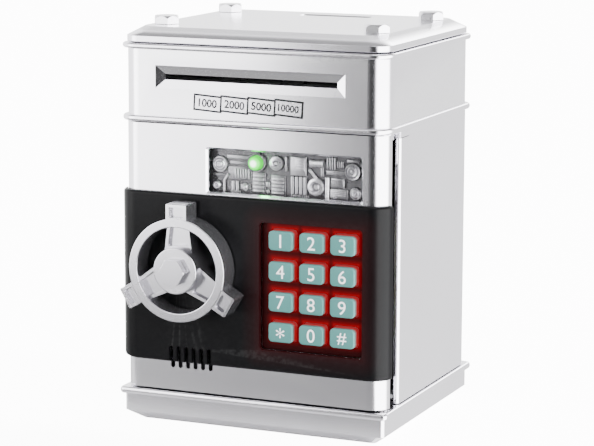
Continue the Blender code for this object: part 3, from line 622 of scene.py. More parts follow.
# %% Door sizes
SKIN = 2.0 * MM
WINDOW_LOW, WINDOW_HIGH = Vector((-22.8, 0, 116.2)) * MM, Vector((56.1, 0, 136.9)) * MM
KEYPAD_LOW, KEYPAD_HIGH = Vector((5.3, 0, 42.2)) * MM, Vector((57.8, 0, 103.9)) * MM
panel_low, panel_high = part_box("front_panel")
lens_low, lens_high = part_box("window_lens")
wheel_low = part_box("hand_wheel")[0]
WHEEL = Vector((-32.0, 0, 79.9)) * MM
WRAP = -52.4 * MM


# %% [markdown]
# ## Stacks
# Windows, keys and openings face the front, so they are laid up like the
# courses, but from back to front.

# %% Stacks that face forwards
def forward_stack(name, low, high, corner, steps, segments=8):
    """A rounded rectangle seen from the front, carried through (y, growth) steps from back to front."""
    deselect()
    low, high = Vector(low), Vector(high)
    half = (high - low) / 2
    bpy.ops.mesh.primitive_plane_add(size=2)
    piece = bpy.context.active_object
    back, grow = steps[0]
    piece.scale = (half.x + grow, half.z + grow, 1)
    piece.location.z = -back
    settle(piece, name)
    pick(piece, "VERT", lambda v: True)
    bpy.ops.mesh.bevel(offset=max(corner + grow, 0.05 * MM), segments=segments, affect="VERTICES")
    for y, wider in steps[1:]:
        bpy.ops.mesh.extrude_region_move(TRANSFORM_OT_translate={"value": (0, 0, back - y)})
        factor = ((half.x + wider) / (half.x + grow), (half.z + wider) / (half.z + grow), 1)
        bpy.ops.transform.resize(value=factor)
        back, grow = y, wider
    bpy.ops.mesh.select_all(action="SELECT")
    bpy.ops.mesh.normals_make_consistent(inside=False)
    leave_edit()
    piece.rotation_euler.x = math.pi / 2
    centre = (low + high) / 2
    piece.location = (centre.x, 0, centre.z)
    return settle(piece, name)


def speaker_slots(prefix):
    """Six slots with round ends."""
    width, low, high = 2.2 * MM, 28.6 * MM, 39.9 * MM
    return [
        forward_stack(
            f"{prefix}_{i}", ((-41.5 + 4.03 * i) * MM - width / 2, 0, low),
            ((-41.5 + 4.03 * i) * MM + width / 2, 0, high), 1.08 * MM, [(-0.052, 0), (-0.07, 0)], 5,
        )
        for i in range(6)
    ]


# %% [markdown]
# ## The door tray
# The tray is hollowed first. Then the window collar and the hinge bosses are
# joined on, and the openings are cut last, through everything.

# %% Door shell
LIP, LIP_BACK = 0.9 * MM, -57.4 * MM
door = outline_tool("door_moulding", door_low.z, door_high.z, 0.0)
carve(
    door,
    block("door_behind", (-0.1, -50.5 * MM, 0), (0.1, 0.1, 0.2)),
    outline_tool("door_inside", door_low.z + SKIN, door_high.z - SKIN, -SKIN),
)
weld(
    door,
    block("window_collar", (-25.5 * MM, -57 * MM, 112.4 * MM), (58.6 * MM, -55.4 * MM, 139.6 * MM)),
    drum("boss_lower", "Z", (HINGE.x, HINGE.y, 23.3 * MM), 4 * MM, 11.4 * MM, 32),
    drum("boss_upper", "Z", (HINGE.x, HINGE.y, 138.3 * MM), 4 * MM, 12.6 * MM, 32),
)
carve(
    door,
    drum("lug_room", "Z", (HINGE.x, HINGE.y, 152 * MM), 5.5 * MM, 14.8 * MM, 40),
    forward_stack(
        "window_hole", WINDOW_LOW, WINDOW_HIGH, 1.2 * MM,
        [(-0.052, 0), (LIP_BACK, 0), (-HALF_D, LIP), (-0.07, LIP)],
    ),
    forward_stack("keypad_way", KEYPAD_LOW, KEYPAD_HIGH, 2 * MM, [(-0.055, 0), (-0.07, 0)]),
    drum("spindle_way", "Y", (WHEEL.x, -0.06, WHEEL.z), 4.5 * MM, 0.02, 32),
    *speaker_slots("door_slot"),
)
soften(door, 0.3 * MM)
print("door", len(door.data.polygons), "faces")

# %% [markdown]
# ## The black front
# A second, satin black moulding is snapped over the middle of the door. It
# stands proud of the silver and its top and bottom edges are rolled over, which
# is what catches the light as a thin bright line along the top.

# %% Black front
PROUD = 2.3 * MM
black_low, black_high = panel_low.z, panel_high.z


def rolled(edge, inward, reach, depth, count=5):
    """(height, growth) steps round a rolled edge; inward is +1 at a bottom edge and -1 at a top one."""
    turns = [math.radians(90 * i / count) for i in range(count + 1)]
    steps = [(edge + inward * reach * (1 - math.cos(t)), PROUD - depth * (1 - math.sin(t))) for t in turns]
    return steps if inward > 0 else steps[::-1]


black = courses(
    "front_panel_moulding",
    rolled(black_low, 1, 1.9 * MM, 1.7 * MM) + rolled(black_high, -1, 1.5 * MM, 1.5 * MM),
)
black.data.transform(Matrix.Diagonal((panel_high.x / (HALF_W + PROUD), 1, 1, 1)))
print("front reaches out to", panel_high.x, "on each side")
carve(
    black,
    outline_tool("panel_inside", 0, 0.2, 0.3 * MM),
    block("panel_behind", (-0.09, WRAP, 0), (0.09, 0.09, 0.2)),
    forward_stack("keypad_hole", KEYPAD_LOW, KEYPAD_HIGH, 2 * MM, [(-0.05, 0), (-0.07, 0)]),
    drum("panel_spindle_way", "Y", (WHEEL.x, -0.06, WHEEL.z), 4.5 * MM, 0.03, 32),
    *speaker_slots("panel_slot"),
)
soften(black, 0.3 * MM, angle=40)
print("black front", len(black.data.polygons), "faces")

# %% [markdown]
# ## The hand wheel
# The wheel is one casting: a flat-faced ring, three channel-shaped spokes, a
# plain hub and three stubby handles outside the ring. It is turned and milled
# here as it would be in metal: drums and blocks joined, then pockets cut.

# %% Ring and hub
RING, RING_IN, LUG_END = 25.0 * MM, 20.8 * MM, 32.0 * MM
HUB = 11.2 * MM
THIRDS = (90, 210, 330)
RING_FRONT, RING_BACK = -74.2 * MM, -61.5 * MM
HUB_FRONT = wheel_low.y


def wheel_drum(name, radius, front, back, sides=96, tip=None):
    """A drum on the wheel's axis. A tip is its radius at the front."""
    middle_y = (front + back) / 2
    return drum(name, "Y", (WHEEL.x, middle_y, WHEEL.z), radius, back - front, sides, tip)


def wheel_radius(point):
    return math.hypot(point.x - WHEEL.x, point.z - WHEEL.z)


def on_circle(edge, radius, y=None):
    """An edge of a circle about the wheel's axis, of this radius and, if given, at this depth."""
    ends = [v.co for v in edge.verts]
    flat = abs(ends[0].y - ends[1].y) < 1e-6 and (y is None or abs(ends[0].y - y) < 1e-5)
    return flat and all(abs(wheel_radius(p) - radius) < 0.05 * MM for p in ends)


ring = wheel_drum("hand_wheel_casting", RING, RING_FRONT, RING_BACK)
carve(ring, wheel_drum("ring_bore", RING_IN, RING_FRONT - 5 * MM, RING_BACK + 5 * MM))
for face, width in ((RING_FRONT, 0.45 * MM), (RING_BACK, 0.8 * MM)):
    round_edges(ring, lambda e: on_circle(e, RING, face) or on_circle(e, RING_IN, face), width, 3)
hub = wheel_drum("hub", HUB, HUB_FRONT, RING_BACK + 0.4 * MM)
round_edges(hub, lambda e: on_circle(e, HUB, HUB_FRONT), 0.5 * MM, 3)
weld(ring, hub)
print("ring and hub", len(ring.data.polygons), "faces")


# %% [markdown]
# ## Spokes and handles
# Three spokes and three handles stand a third of a turn apart. Their pockets
# are cut after all are joined, so that no join fills one again.

# %% Spokes, handles and pockets
def radial_block(name, degrees, inner, outer, width, front, back, tip=None):
    """A block that points away from the wheel's axis; tip is its width at its far end."""
    piece = block(name, (inner, front, -width / 2), (outer, back, width / 2))
    for corner in piece.data.vertices:
        if tip and corner.co.x > (inner + outer) / 2:
            corner.co.z *= tip / width
    piece.rotation_euler.y = -math.radians(degrees)
    piece.location = WHEEL
    return settle(piece, name)


def edge_radius(edge):
    return wheel_radius(middle(edge))


def pocket(*shape, corner=0.5 * MM):
    """A radial block with round corners, for a pocket."""
    return round_edges(radial_block(*shape), lambda e: runs_along(e, 1), corner, 4)


for degrees in THIRDS:
    spoke = radial_block("spoke", degrees, 8 * MM, 23 * MM, 14.4 * MM, -71.6 * MM, -64 * MM, 10.8 * MM)
    handle = radial_block(
        "handle", degrees, 22.5 * MM, LUG_END, 10.6 * MM, RING_FRONT + 0.2 * MM, RING_BACK - 1 * MM
    )
    round_edges(handle, lambda e: edge_radius(e) > 30 * MM, 0.7 * MM, 4)
    weld(ring, spoke, handle)
for degrees in THIRDS:
    carve(
        ring,
        pocket("spoke_trough", degrees, 11.3 * MM, 20.7 * MM, 10.8 * MM, -0.08, -69.4 * MM, 8.4 * MM),
        pocket("handle_pocket", degrees, 25.4 * MM, 30.4 * MM, 7.4 * MM, -0.08, -71.6 * MM, 7.4 * MM),
    )
carve(ring, wheel_drum("wheel_bore", 3.3 * MM, -0.09, -0.05, 48))
soften(ring, 0.28 * MM, 2, 35)
print("hand wheel", len(ring.data.polygons), "faces")

# %% [markdown]
# ## The wheel nut
# The nut in the middle is the front end of the lock's own shaft. Its six corners
# are turned off to a shallow dome, as on a real nut, by keeping only what lies
# inside a wide cone as well.

# %% Nut, shaft and cam
spindle_low, spindle_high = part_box("lock_spindle")
NUT_FLATS = 11.6 * MM
nut_back = HUB_FRONT - 0.3 * MM
nut = wheel_drum("lock_spindle_head", NUT_FLATS / math.sqrt(3), spindle_low.y, nut_back, 6)
nut_angle = min(math.degrees(math.atan2(v.co.z - WHEEL.z, v.co.x - WHEEL.x)) % 60 for v in nut.data.vertices)
nut.location = WHEEL
nut.data.transform(Matrix.Translation(-WHEEL))
nut.rotation_euler.y = math.radians(nut_angle)
settle(nut, "lock_spindle_head")
dome = wheel_drum("nut_dome", 12.0 * MM, spindle_low.y, nut_back, 64, 6.35 * MM)
carve(nut, dome, how="INTERSECT")
weld(nut, wheel_drum("shaft", 3.0 * MM, nut_back - 1 * MM, spindle_high.y, 40))
cam = wheel_drum("cam", 12.0 * MM, -46 * MM, -43 * MM, 72)
weld(nut, cam)
for degrees in (0, -90):
    carve(nut, radial_block("cam_notch", degrees, 8 * MM, 15 * MM, 5.2 * MM, -0.05, -0.04))
soften(nut, 0.25 * MM, 3, 20)
print("nut", len(nut.data.polygons), "faces; turned by", nut_angle)

# %% [markdown]
# ## The window and what shows in it
# Behind a clear pane lies a moulded, vacuum-plated relief of make-believe
# machinery: knobs, louvres, combs and pipes. On the toy it is one plated sheet.
# Here each shape is a small solid, and all are joined to one piece, because the
# plating hides where one ends and the next begins.

# %% Pieces of make-believe machinery
RELIEF_FACE = -51.6 * MM
relief_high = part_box("relief_panel")[1]
relief_pieces = []


def relief_block(x0, z0, x1, z1, front, corner=0.25):
    """A block on the relief, in millimetres; front is how far it stands off the sheet."""
    low, high = (x0 * MM, RELIEF_FACE - front * MM, z0 * MM), (x1 * MM, RELIEF_FACE + 0.4 * MM, z1 * MM)
    piece = block("relief_block", low, high)
    face_y = low[1]
    round_edges(piece, lambda e: all(abs(v.co.y - face_y) < 1e-6 for v in e.verts), corner * MM, 3)
    relief_pieces.append(piece)
    return piece


def relief_rings(x, z, *steps):
    """A turned knob from (radius, height) steps, from its rim to its middle, in millimetres."""
    deselect()
    bpy.ops.mesh.primitive_circle_add(vertices=40, radius=steps[0][0] * MM, fill_type="NGON")
    piece = bpy.context.active_object
    settle(piece, "relief_knob")
    pick(piece, "FACE", lambda f: True)
    height, radius = -0.4, steps[0][0]
    for wider, top in steps:
        if wider != radius:
            bpy.ops.transform.resize(value=(wider / radius, wider / radius, 1))
        if top != height:
            bpy.ops.mesh.extrude_region_move(
                TRANSFORM_OT_translate={"value": (0, 0, (top - height) * MM), "orient_type": "GLOBAL"}
            )
        else:
            bpy.ops.mesh.inset(thickness=1e-6, depth=0)
        height, radius = top, wider
    bpy.ops.mesh.select_all(action="SELECT")
    bpy.ops.mesh.normals_make_consistent(inside=False)
    leave_edit()
    piece.rotation_euler.x = math.pi / 2
    piece.location = (x * MM, RELIEF_FACE, z * MM)
    settle(piece, "relief_knob")
    relief_pieces.append(piece)
    return piece


def relief_pipe(points, radius):
    """A bent pipe through (x, z, height) points, in millimetres."""
    path = bpy.data.curves.new("relief_pipe", "CURVE")
    path.dimensions = "3D"
    path.bevel_depth = radius * MM
    path.bevel_resolution = 5
    path.use_fill_caps = True
    line = path.splines.new("POLY")
    line.points.add(len(points) - 1)
    for point, (x, z, high) in zip(line.points, points):
        point.co = (x * MM, RELIEF_FACE - high * MM, z * MM, 1)
    piece = bpy.data.objects.new("relief_pipe", path)
    bpy.context.scene.collection.objects.link(piece)
    activate(piece)
    bpy.ops.object.convert(target="MESH")
    relief_pieces.append(bpy.context.active_object)


def relief_fins(x0, z0, x1, z1, count, front, upright=True, share=0.5):
    """A row of thin fins that fills a rectangle."""
    span = (x1 - x0) if upright else (z1 - z0)
    pitch = span / count
    for i in range(count):
        start = i * pitch + pitch * (1 - share) / 2
        if upright:
            relief_block(x0 + start, z0, x0 + start + pitch * share, z1, front, 0.15)
        else:
            relief_block(x0, z0 + start, x1, z0 + start + pitch * share, front, 0.15)


# %% [markdown]
# ## The layout
# Places are in millimetres across and up. Small shapes stand on larger plates,
# as they would in a mould.

# %% Lay out the machinery
relief_rings(
    -18.7, 129.2, (4.0, 1.2), (3.6, 1.2), (3.2, 0.9), (2.9, 1.6), (2.3, 1.6),
    (2.1, 1.2), (1.7, 2.0), (1.1, 2.0), (0.8, 1.7),
)
relief_rings(-20.3, 118.9, (2.4, 0.9), (2.1, 1.7), (1.4, 1.7), (1.1, 1.3), (0.6, 1.9))
relief_block(-15, 132.2, -2.6, 133.9, 1.2)
relief_block(-13.6, 129.4, -4.2, 131.0, 0.9)
relief_block(-14.6, 122.2, -2.4, 128.4, 0.7)
relief_fins(-11.2, 123.0, -3.0, 127.4, 6, 1.6)
relief_block(-22.4, 123.4, -15.6, 124.6, 0.8)
relief_pipe([(-16.6, 116, 0.8), (-16.6, 121.4, 0.8), (-14.4, 124.6, 0.9)], 0.7)
relief_block(-12.6, 116.2, -11.2, 121.4, 1.5)
relief_block(-10.4, 116.2, -9.0, 121.4, 1.5)
relief_block(-13.4, 115.4, -8.2, 116.8, 1.1)
relief_rings(-5.6, 118.9, (2.1, 1.0), (1.6, 1.0), (1.3, 1.8), (0.7, 1.8))
relief_block(-8.2, 117.6, -3.0, 120.3, 0.8)
relief_block(-2.0, 116.0, 4.8, 126.2, 0.7)
relief_fins(-1.4, 116.6, 4.2, 125.6, 5, 1.6, upright=False, share=0.55)
relief_block(7.6, 115.6, 15.2, 125.4, 0.7)
relief_fins(8.4, 116.2, 14.4, 124.6, 5, 1.6, upright=False, share=0.55)
relief_block(5.3, 119.8, 7.2, 122.0, 1.5)
relief_block(5.4, 116.4, 7.0, 118.2, 1.1)
relief_rings(10.5, 131.2, (3.8, 1.3), (3.3, 1.3), (2.9, 1.9), (2.0, 1.9), (1.8, 0.7), (0.9, 0.7), (0.7, 1.5))
relief_block(10.2, 130.6, 12.3, 131.3, 1.7, 0.1)
relief_block(15.0, 127.6, 16.0, 134.6, 1.2)
relief_block(17.9, 126.0, 26.0, 134.9, 1.4, 0.35)
relief_block(20.4, 128.4, 25.4, 134.2, 1.75, 0.2)
relief_fins(21.0, 129.0, 24.8, 133.6, 4, 2.05, upright=False)
relief_fins(17.9, 117.2, 26.4, 125.4, 4, 1.5, share=0.68)
relief_fins(17.9, 114.2, 27.4, 116.9, 9, 0.9)
relief_pipe([(28.4, 132.4, 1.15), (34.9, 132.4, 1.15)], 1.7)
relief_pipe([(28.2, 132.4, 1.1), (28.9, 132.4, 1.1)], 2.0)
relief_pipe([(34.2, 132.4, 1.1), (35.0, 132.4, 1.1)], 2.0)
relief_pipe([(27.4, 129.2, 0.7), (29.2, 127.4, 0.9), (31.2, 125.0, 1.0)], 0.8)
relief_block(33.3, 126.4, 34.7, 130.4, 1.2)
relief_fins(36.2, 130.0, 41.0, 135.6, 4, 1.4)
relief_block(36.0, 127.4, 45.2, 129.4, 0.9)
relief_fins(41.4, 131.0, 45.0, 134.0, 4, 1.1)
relief_rings(31.0, 121.2, (4.5, 1.4), (4.1, 1.9), (3.1, 1.9), (2.9, 0.5), (1.9, 0.5), (1.7, 1.0), (1.0, 1.0))
relief_pipe([(36.7, 115.4, 0.9), (36.7, 126.0, 0.9)], 1.15)
relief_block(38.2, 121.4, 45.4, 126.0, 0.7)
relief_block(39.0, 125.0, 45.0, 125.9, 1.5)
relief_block(44.6, 121.6, 45.4, 125.4, 1.4)
relief_block(38.2, 116.2, 47.0, 120.8, 1.2)
relief_fins(39.0, 117.6, 46.0, 120.2, 3, 1.8, upright=False)
relief_rings(40.6, 117.0, (1.2, 1.8), (0.7, 1.8), (0.5, 1.3))
relief_rings(
    49.4, 129.4, (4.4, 0.9), (3.8, 0.9), (3.6, 0.6), (3.0, 0.6), (2.8, 1.2), (2.2, 1.2),
    (2.0, 0.9), (1.3, 0.9), (1.1, 1.7), (0.5, 1.7),
)
relief_rings(50.9, 119.2, (3.2, 0.9), (2.6, 0.9), (2.3, 1.6), (1.5, 1.6), (1.3, 1.1), (0.7, 1.8))
relief_block(53.8, 124.4, 55.6, 135.4, 0.8)
relief_block(46.6, 133.8, 52.6, 135.2, 1.0)
print(len(relief_pieces), "pieces of machinery")

# %% [markdown]
# ## The sheet
# One sheet carries all the machinery and has a hole for the lamp.

# %% Sheet behind the machinery
sheet = forward_stack(
    "relief_sheet", WINDOW_LOW, WINDOW_HIGH, 1.2 * MM,
    [(relief_high.y, 1.3 * MM), (RELIEF_FACE, 1.3 * MM)],
)
led_low, led_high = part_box("status_led")
LED = Vector(((led_low.x + led_high.x) / 2, led_low.y, (led_low.z + led_high.z) / 2))
LED_RADIUS = (led_high.x - led_low.x) / 2
LED_SEAT = -54.6 * MM
carve(sheet, drum("led_way", "Y", (LED.x, -0.052, LED.z), LED_RADIUS + 0.3 * MM, 0.01, 40))
for piece in relief_pieces:
    smooth_shade(piece, 35)
soften(sheet, 0.15 * MM)
activate(sheet)
for piece in relief_pieces:
    piece.select_set(True)
bpy.ops.object.join()
print("relief", len(sheet.data.polygons), "faces")

# %% [markdown]
# ## The lamp
# The lamp is a short drum with a flattened ball on its front, in a grey collar.

# %% Lamp collar and lamp
collar = drum("led_collar", "Y", (LED.x, -52.6 * MM, LED.z), LED_RADIUS + 1.1 * MM, 1.9 * MM, 48)
carve(collar, drum("collar_way", "Y", (LED.x, -0.052, LED.z), LED_RADIUS + 0.32 * MM, 0.01, 48))
soften(collar, 0.2 * MM)
lamp_middle = Vector((LED.x, (led_high.y + LED_SEAT) / 2, LED.z))
lamp_body = drum("status_led_lamp", "Y", lamp_middle, LED_RADIUS, led_high.y - LED_SEAT, 48)
deselect()
bpy.ops.mesh.primitive_uv_sphere_add(
    segments=48, ring_count=24, radius=LED_RADIUS,
    location=(LED.x, LED_SEAT, LED.z), rotation=(math.pi / 2, 0, 0),
)
bulb = bpy.context.active_object
bulb.scale.z = 0.75
settle(bulb, "bulb")
weld(lamp_body, bulb)
smooth_shade(lamp_body, 40)
print("lamp radius", LED_RADIUS / MM)

# %% [markdown]
# ## The pane
# The pane is a flat slab behind the window's edge, with a hole for the lamp.

# %% Clear pane
pane = forward_stack(
    "window_pane", WINDOW_LOW, WINDOW_HIGH, 1.2 * MM, [(lens_high.y, 1.4 * MM), (lens_low.y, 1.4 * MM)]
)
carve(pane, drum("pane_way", "Y", (LED.x, -0.055, LED.z), LED_RADIUS + 0.4 * MM, 0.01, 48))
soften(pane, 0.15 * MM)
print("pane", len(pane.data.polygons), "faces")

# %% [markdown]
# ## The keypad
# Twelve soft keys stand in a dark red field that is lit from below, so each
# key's foot glows. One key is modelled from a rounded rectangle carried forward
# in steps: a flange that keeps it in, a straight skirt, and a cap whose edge
# rolls over. All twelve are made this way, each from its own node's box.

# %% Keys
KEY_LABELS = {"star": "*", "hash": "#"}
key_names = [n for n in frame["nodes"] if n.startswith("key_")]
first_low, first_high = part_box("key_1")
FLANGE = 0.7 * MM
KEY_CORNER = 1.6 * MM


def inside_flange(low, high):
    """The corners of a key's skirt, which its flange goes round."""
    return Vector((low.x + FLANGE, 0, low.z + FLANGE)), Vector((high.x - FLANGE, 0, high.z - FLANGE))


def key_cap(name, low, high):
    """A key that fills a node's box; its flange is wider than its skirt."""
    roll, turns = 0.7 * MM, [math.radians(90 * i / 5) for i in range(6)]
    steps = [(high.y, FLANGE), (high.y - 1.0 * MM, FLANGE), (high.y - 1.0 * MM, 0.0)]
    steps += [(low.y + roll * (1 - math.sin(t)), -0.1 * MM - roll * (1 - math.cos(t))) for t in turns]
    piece = forward_stack(name, *inside_flange(low, high), KEY_CORNER, steps, 6)
    smooth_shade(piece, 40)
    return piece


# %% [markdown]
# ## Raised numbers
# Each number starts as a text object. As a mesh it can be centred on its own
# outline and scaled to an exact height.

# %% Numbers
def written(name, words, height, centre, y, extrude=0.05 * MM, bold=0.0, tilt=0.0):
    """Flat raised lettering that faces forwards, centred on a point."""
    deselect()
    bpy.ops.object.text_add()
    piece = bpy.context.active_object
    piece.data.body = words
    piece.data.align_x, piece.data.align_y = "CENTER", "CENTER"
    piece.data.size = 10.0
    piece.data.extrude = 0.5
    piece.data.offset = bold
    bpy.ops.object.convert(target="MESH")
    piece = bpy.context.active_object
    points = [v.co.copy() for v in piece.data.vertices]
    middle_x = (max(p.x for p in points) + min(p.x for p in points)) / 2
    middle_y = (max(p.y for p in points) + min(p.y for p in points)) / 2
    scale = height / (max(p.y for p in points) - min(p.y for p in points))
    piece.data.transform(Matrix.Translation((-middle_x, -middle_y, 0)))
    piece.data.transform(Matrix.Diagonal((scale, scale, 2 * extrude, 1)))
    piece.rotation_euler = (math.pi / 2, tilt, 0)
    piece.location = (centre[0], y, centre[1])
    return settle(piece, name)


keys, digits = {}, {}
for node in key_names:
    low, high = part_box(node)
    keys[node] = key_cap(f"{node}_cap", low, high)
    label = KEY_LABELS.get(node[4:], node[4:])
    centre = ((low.x + high.x) / 2, (low.z + high.z) / 2)
    tall = {"*": 4.9 * MM, "#": 5.6 * MM}.get(label, 6.3 * MM)
    digits[node] = written(f"{node}_number", label, tall, centre, low.y + 0.02 * MM, bold=0.02)
print(len(keys), "keys, e.g.", len(keys["key_1"].data.polygons), "faces each")

# %% [markdown]
# ## The field between the keys
# The field is one plate with twelve holes, each a little wider than its key.

# %% Red field
bezel_low, bezel_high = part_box("keypad_bezel")
field = forward_stack(
    "keypad_field", KEYPAD_LOW, KEYPAD_HIGH, 2 * MM,
    [(bezel_high.y, -0.3 * MM), (bezel_low.y + 0.3 * MM, -0.3 * MM), (bezel_low.y, -0.6 * MM)],
)
for node in key_names:
    low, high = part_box(node)
    way = [(-0.05, 0.35 * MM), (-0.07, 0.35 * MM)]
    carve(field, forward_stack("key_way", *inside_flange(low, high), KEY_CORNER, way, 5))
soften(field, 0.15 * MM)
print("field", len(field.data.polygons), "faces")

# %% [markdown]
# ## Four value boxes under the mouth
# Thin dark outlines are printed under the note slot, fanned a little like cards,
# with a note's value in each. Print has almost no height, so each layer is a few
# hundredths of a millimetre thick, and each box lies just over the one before.

# %% Value boxes
box_pieces = []
VALUES = ("1000", "2000", "5000", "10000")
for i, value in enumerate(VALUES):
    centre_x, centre_z = (-22.4 + 13.9 * i) * MM, 158.7 * MM - 0.12 * MM * i
    tilt = math.radians(3.4)
    half_w, half_h, line = 7.45 * MM, 4.0 * MM, 0.9 * MM
    face_y = -HALF_D - 0.04 * MM * (i + 1)
    tall = 3.4 * MM if len(value) > 4 else 3.9 * MM
    outline = block(f"value_outline_{value}", (-half_w, -0.04 * MM, -half_h), (half_w, 0.0, half_h))
    inside_low, inside_high = (line - half_w, -0.01, line - half_h), (half_w - line, 0.01, half_h - line)
    carve(outline, block("value_inside", inside_low, inside_high))
    card = block(f"value_card_{value}", (0.2 * MM - half_w, -0.02 * MM, 0.2 * MM - half_h),
                 (half_w - 0.2 * MM, 0.04 * MM, half_h - 0.2 * MM))
    for piece in (outline, card):
        piece.rotation_euler.y = tilt
        piece.location = (centre_x, face_y, centre_z)
        settle(piece, piece.name)
    number = written(
        f"value_number_{value}", value, tall, (centre_x, centre_z), face_y - 0.03 * MM, 0.03 * MM, 0.22, tilt
    )
    box_pieces += [outline, card, number]
print(len(box_pieces), "printed pieces")

# %% [markdown]
# ## Roof bolts
# Four bolts with six flats look as if they hold the roof down. Each head is a
# hexagonal drum whose corners are domed off, on a plain shank.

# %% Bolts
bolts = {}
for node in [n for n in frame["nodes"] if n.startswith("roof_bolt")]:
    low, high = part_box(node)
    centre_x, centre_y = (low.x + high.x) / 2, (low.y + high.y) / 2
    seat = roof_high.z + 0.2 * MM
    radius = (high.x - low.x) / 2
    centre, tall = (centre_x, centre_y, (seat + high.z) / 2), high.z - seat
    head = drum(f"{node}_head", "Z", centre, radius, tall, 6)
    head.data.transform(Matrix.Translation((-centre_x, -centre_y, 0)))
    widest = max(head.data.vertices, key=lambda v: v.co.x).co.x
    if widest < radius * 0.95:
        head.data.transform(Matrix.Rotation(math.radians(30), 4, "Z"))
    head.data.transform(Matrix.Translation((centre_x, centre_y, 0)))
    dome = drum("bolt_dome", "Z", centre, radius * 1.25, tall, 64, radius * 0.86)
    carve(head, dome, how="INTERSECT")
    weld(head, drum("shank", "Z", (centre_x, centre_y, 191 * MM), 1.4 * MM, 7 * MM, 24))
    bolts[node] = soften(head, 0.35 * MM, 3, 20)
print(len(bolts), "bolts")

# %% [markdown]
# ## Finishes
# Every finish starts from the same questions a moulder would ask: what colour,
# how much it drifts across the part, how glossy and how evenly, what grain the
# mould left, and how an edge wears. Noise in the object's own coordinates
# answers them, so a finish needs no picture and stays put when the piece moves.


# %% One recipe for moulded and plated pieces
def finish(
    name, colour, gloss=(0.3, 0.4), metal=0.0, drift=0.05, grain=(900, 0.02), flake=0.0, worn=None, **fixed
):
    """
    A finish. colour is its base; gloss its roughness from smooth to rough; drift how much its
    colour wanders; grain the (fineness per metre, depth in mm) of its surface; flake how much
    metal flake glitters in it; worn the colour of its rubbed edges. fixed are shader inputs.
    """
    material = bpy.data.materials.new(name)
    material.use_nodes = True
    tree = material.node_tree
    shader = tree.nodes["Principled BSDF"]
    where = add_node(tree, "ShaderNodeTexCoord").outputs["Object"]
    broad = add_node(tree, "ShaderNodeTexNoise", {"Vector": where, "Scale": 22, "Detail": 3}).outputs["Fac"]
    fine = add_node(
        tree, "ShaderNodeTexNoise", {"Vector": where, "Scale": grain[0], "Detail": 4}
    ).outputs["Fac"]
    darker = tuple(c * (1 - drift) for c in colour)
    lighter = tuple(min(c * (1 + drift), 1.0) for c in colour)
    tone = ramp(tree, broad, (0.3, darker), (0.7, lighter))
    height = fine
    if flake:
        cells = add_node(tree, "ShaderNodeTexVoronoi", {"Vector": where, "Scale": 4200})
        glitter = ramp(tree, cells.outputs["Color"], (0.0, 1 - flake), (1.0, 1.0))
        tone = blended(tree, 1.0, tone, glitter, "MULTIPLY")
        height = sums(tree, "ADD", fine, sums(tree, "MULTIPLY", cells.outputs["Distance"], 0.35))
    spread = {"Value": fine, "From Min": 0.3, "From Max": 0.7, "To Min": gloss[0], "To Max": gloss[1]}
    rough = add_node(tree, "ShaderNodeMapRange", spread).outputs[0]
    if worn:
        bend = add_node(tree, "ShaderNodeNewGeometry").outputs["Pointiness"]
        on_edge = ramp(tree, bend, (0.53, 0.0), (0.62, 1.0))
        patchy = ramp(tree, fine, (0.4, 0.1), (0.6, 1.0))
        rubbed = sums(tree, "MULTIPLY", on_edge, patchy)
        tone = blended(tree, rubbed, tone, (*worn, 1.0))
    bump = add_node(tree, "ShaderNodeBump", {"Strength": 0.6, "Distance": grain[1] * MM, "Height": height})
    tree.links.new(tone, shader.inputs["Base Color"])
    tree.links.new(rough, shader.inputs["Roughness"])
    tree.links.new(bump.outputs["Normal"], shader.inputs["Normal"])
    shader.inputs["Metallic"].default_value = metal
    for key, value in fixed.items():
        shader.inputs[key.replace("_", " ").title().replace("Ior", "IOR")].default_value = value
    return material


# %% [markdown]
# ## Silver, black, chrome and the rest
# The body is silver paint on plastic: metallic, but satin, with a faint flake
# and an orange-peel skin. The black front is bare plastic with a satin skin. The
# relief is vacuum-plated and lacquered, so it mirrors softly.

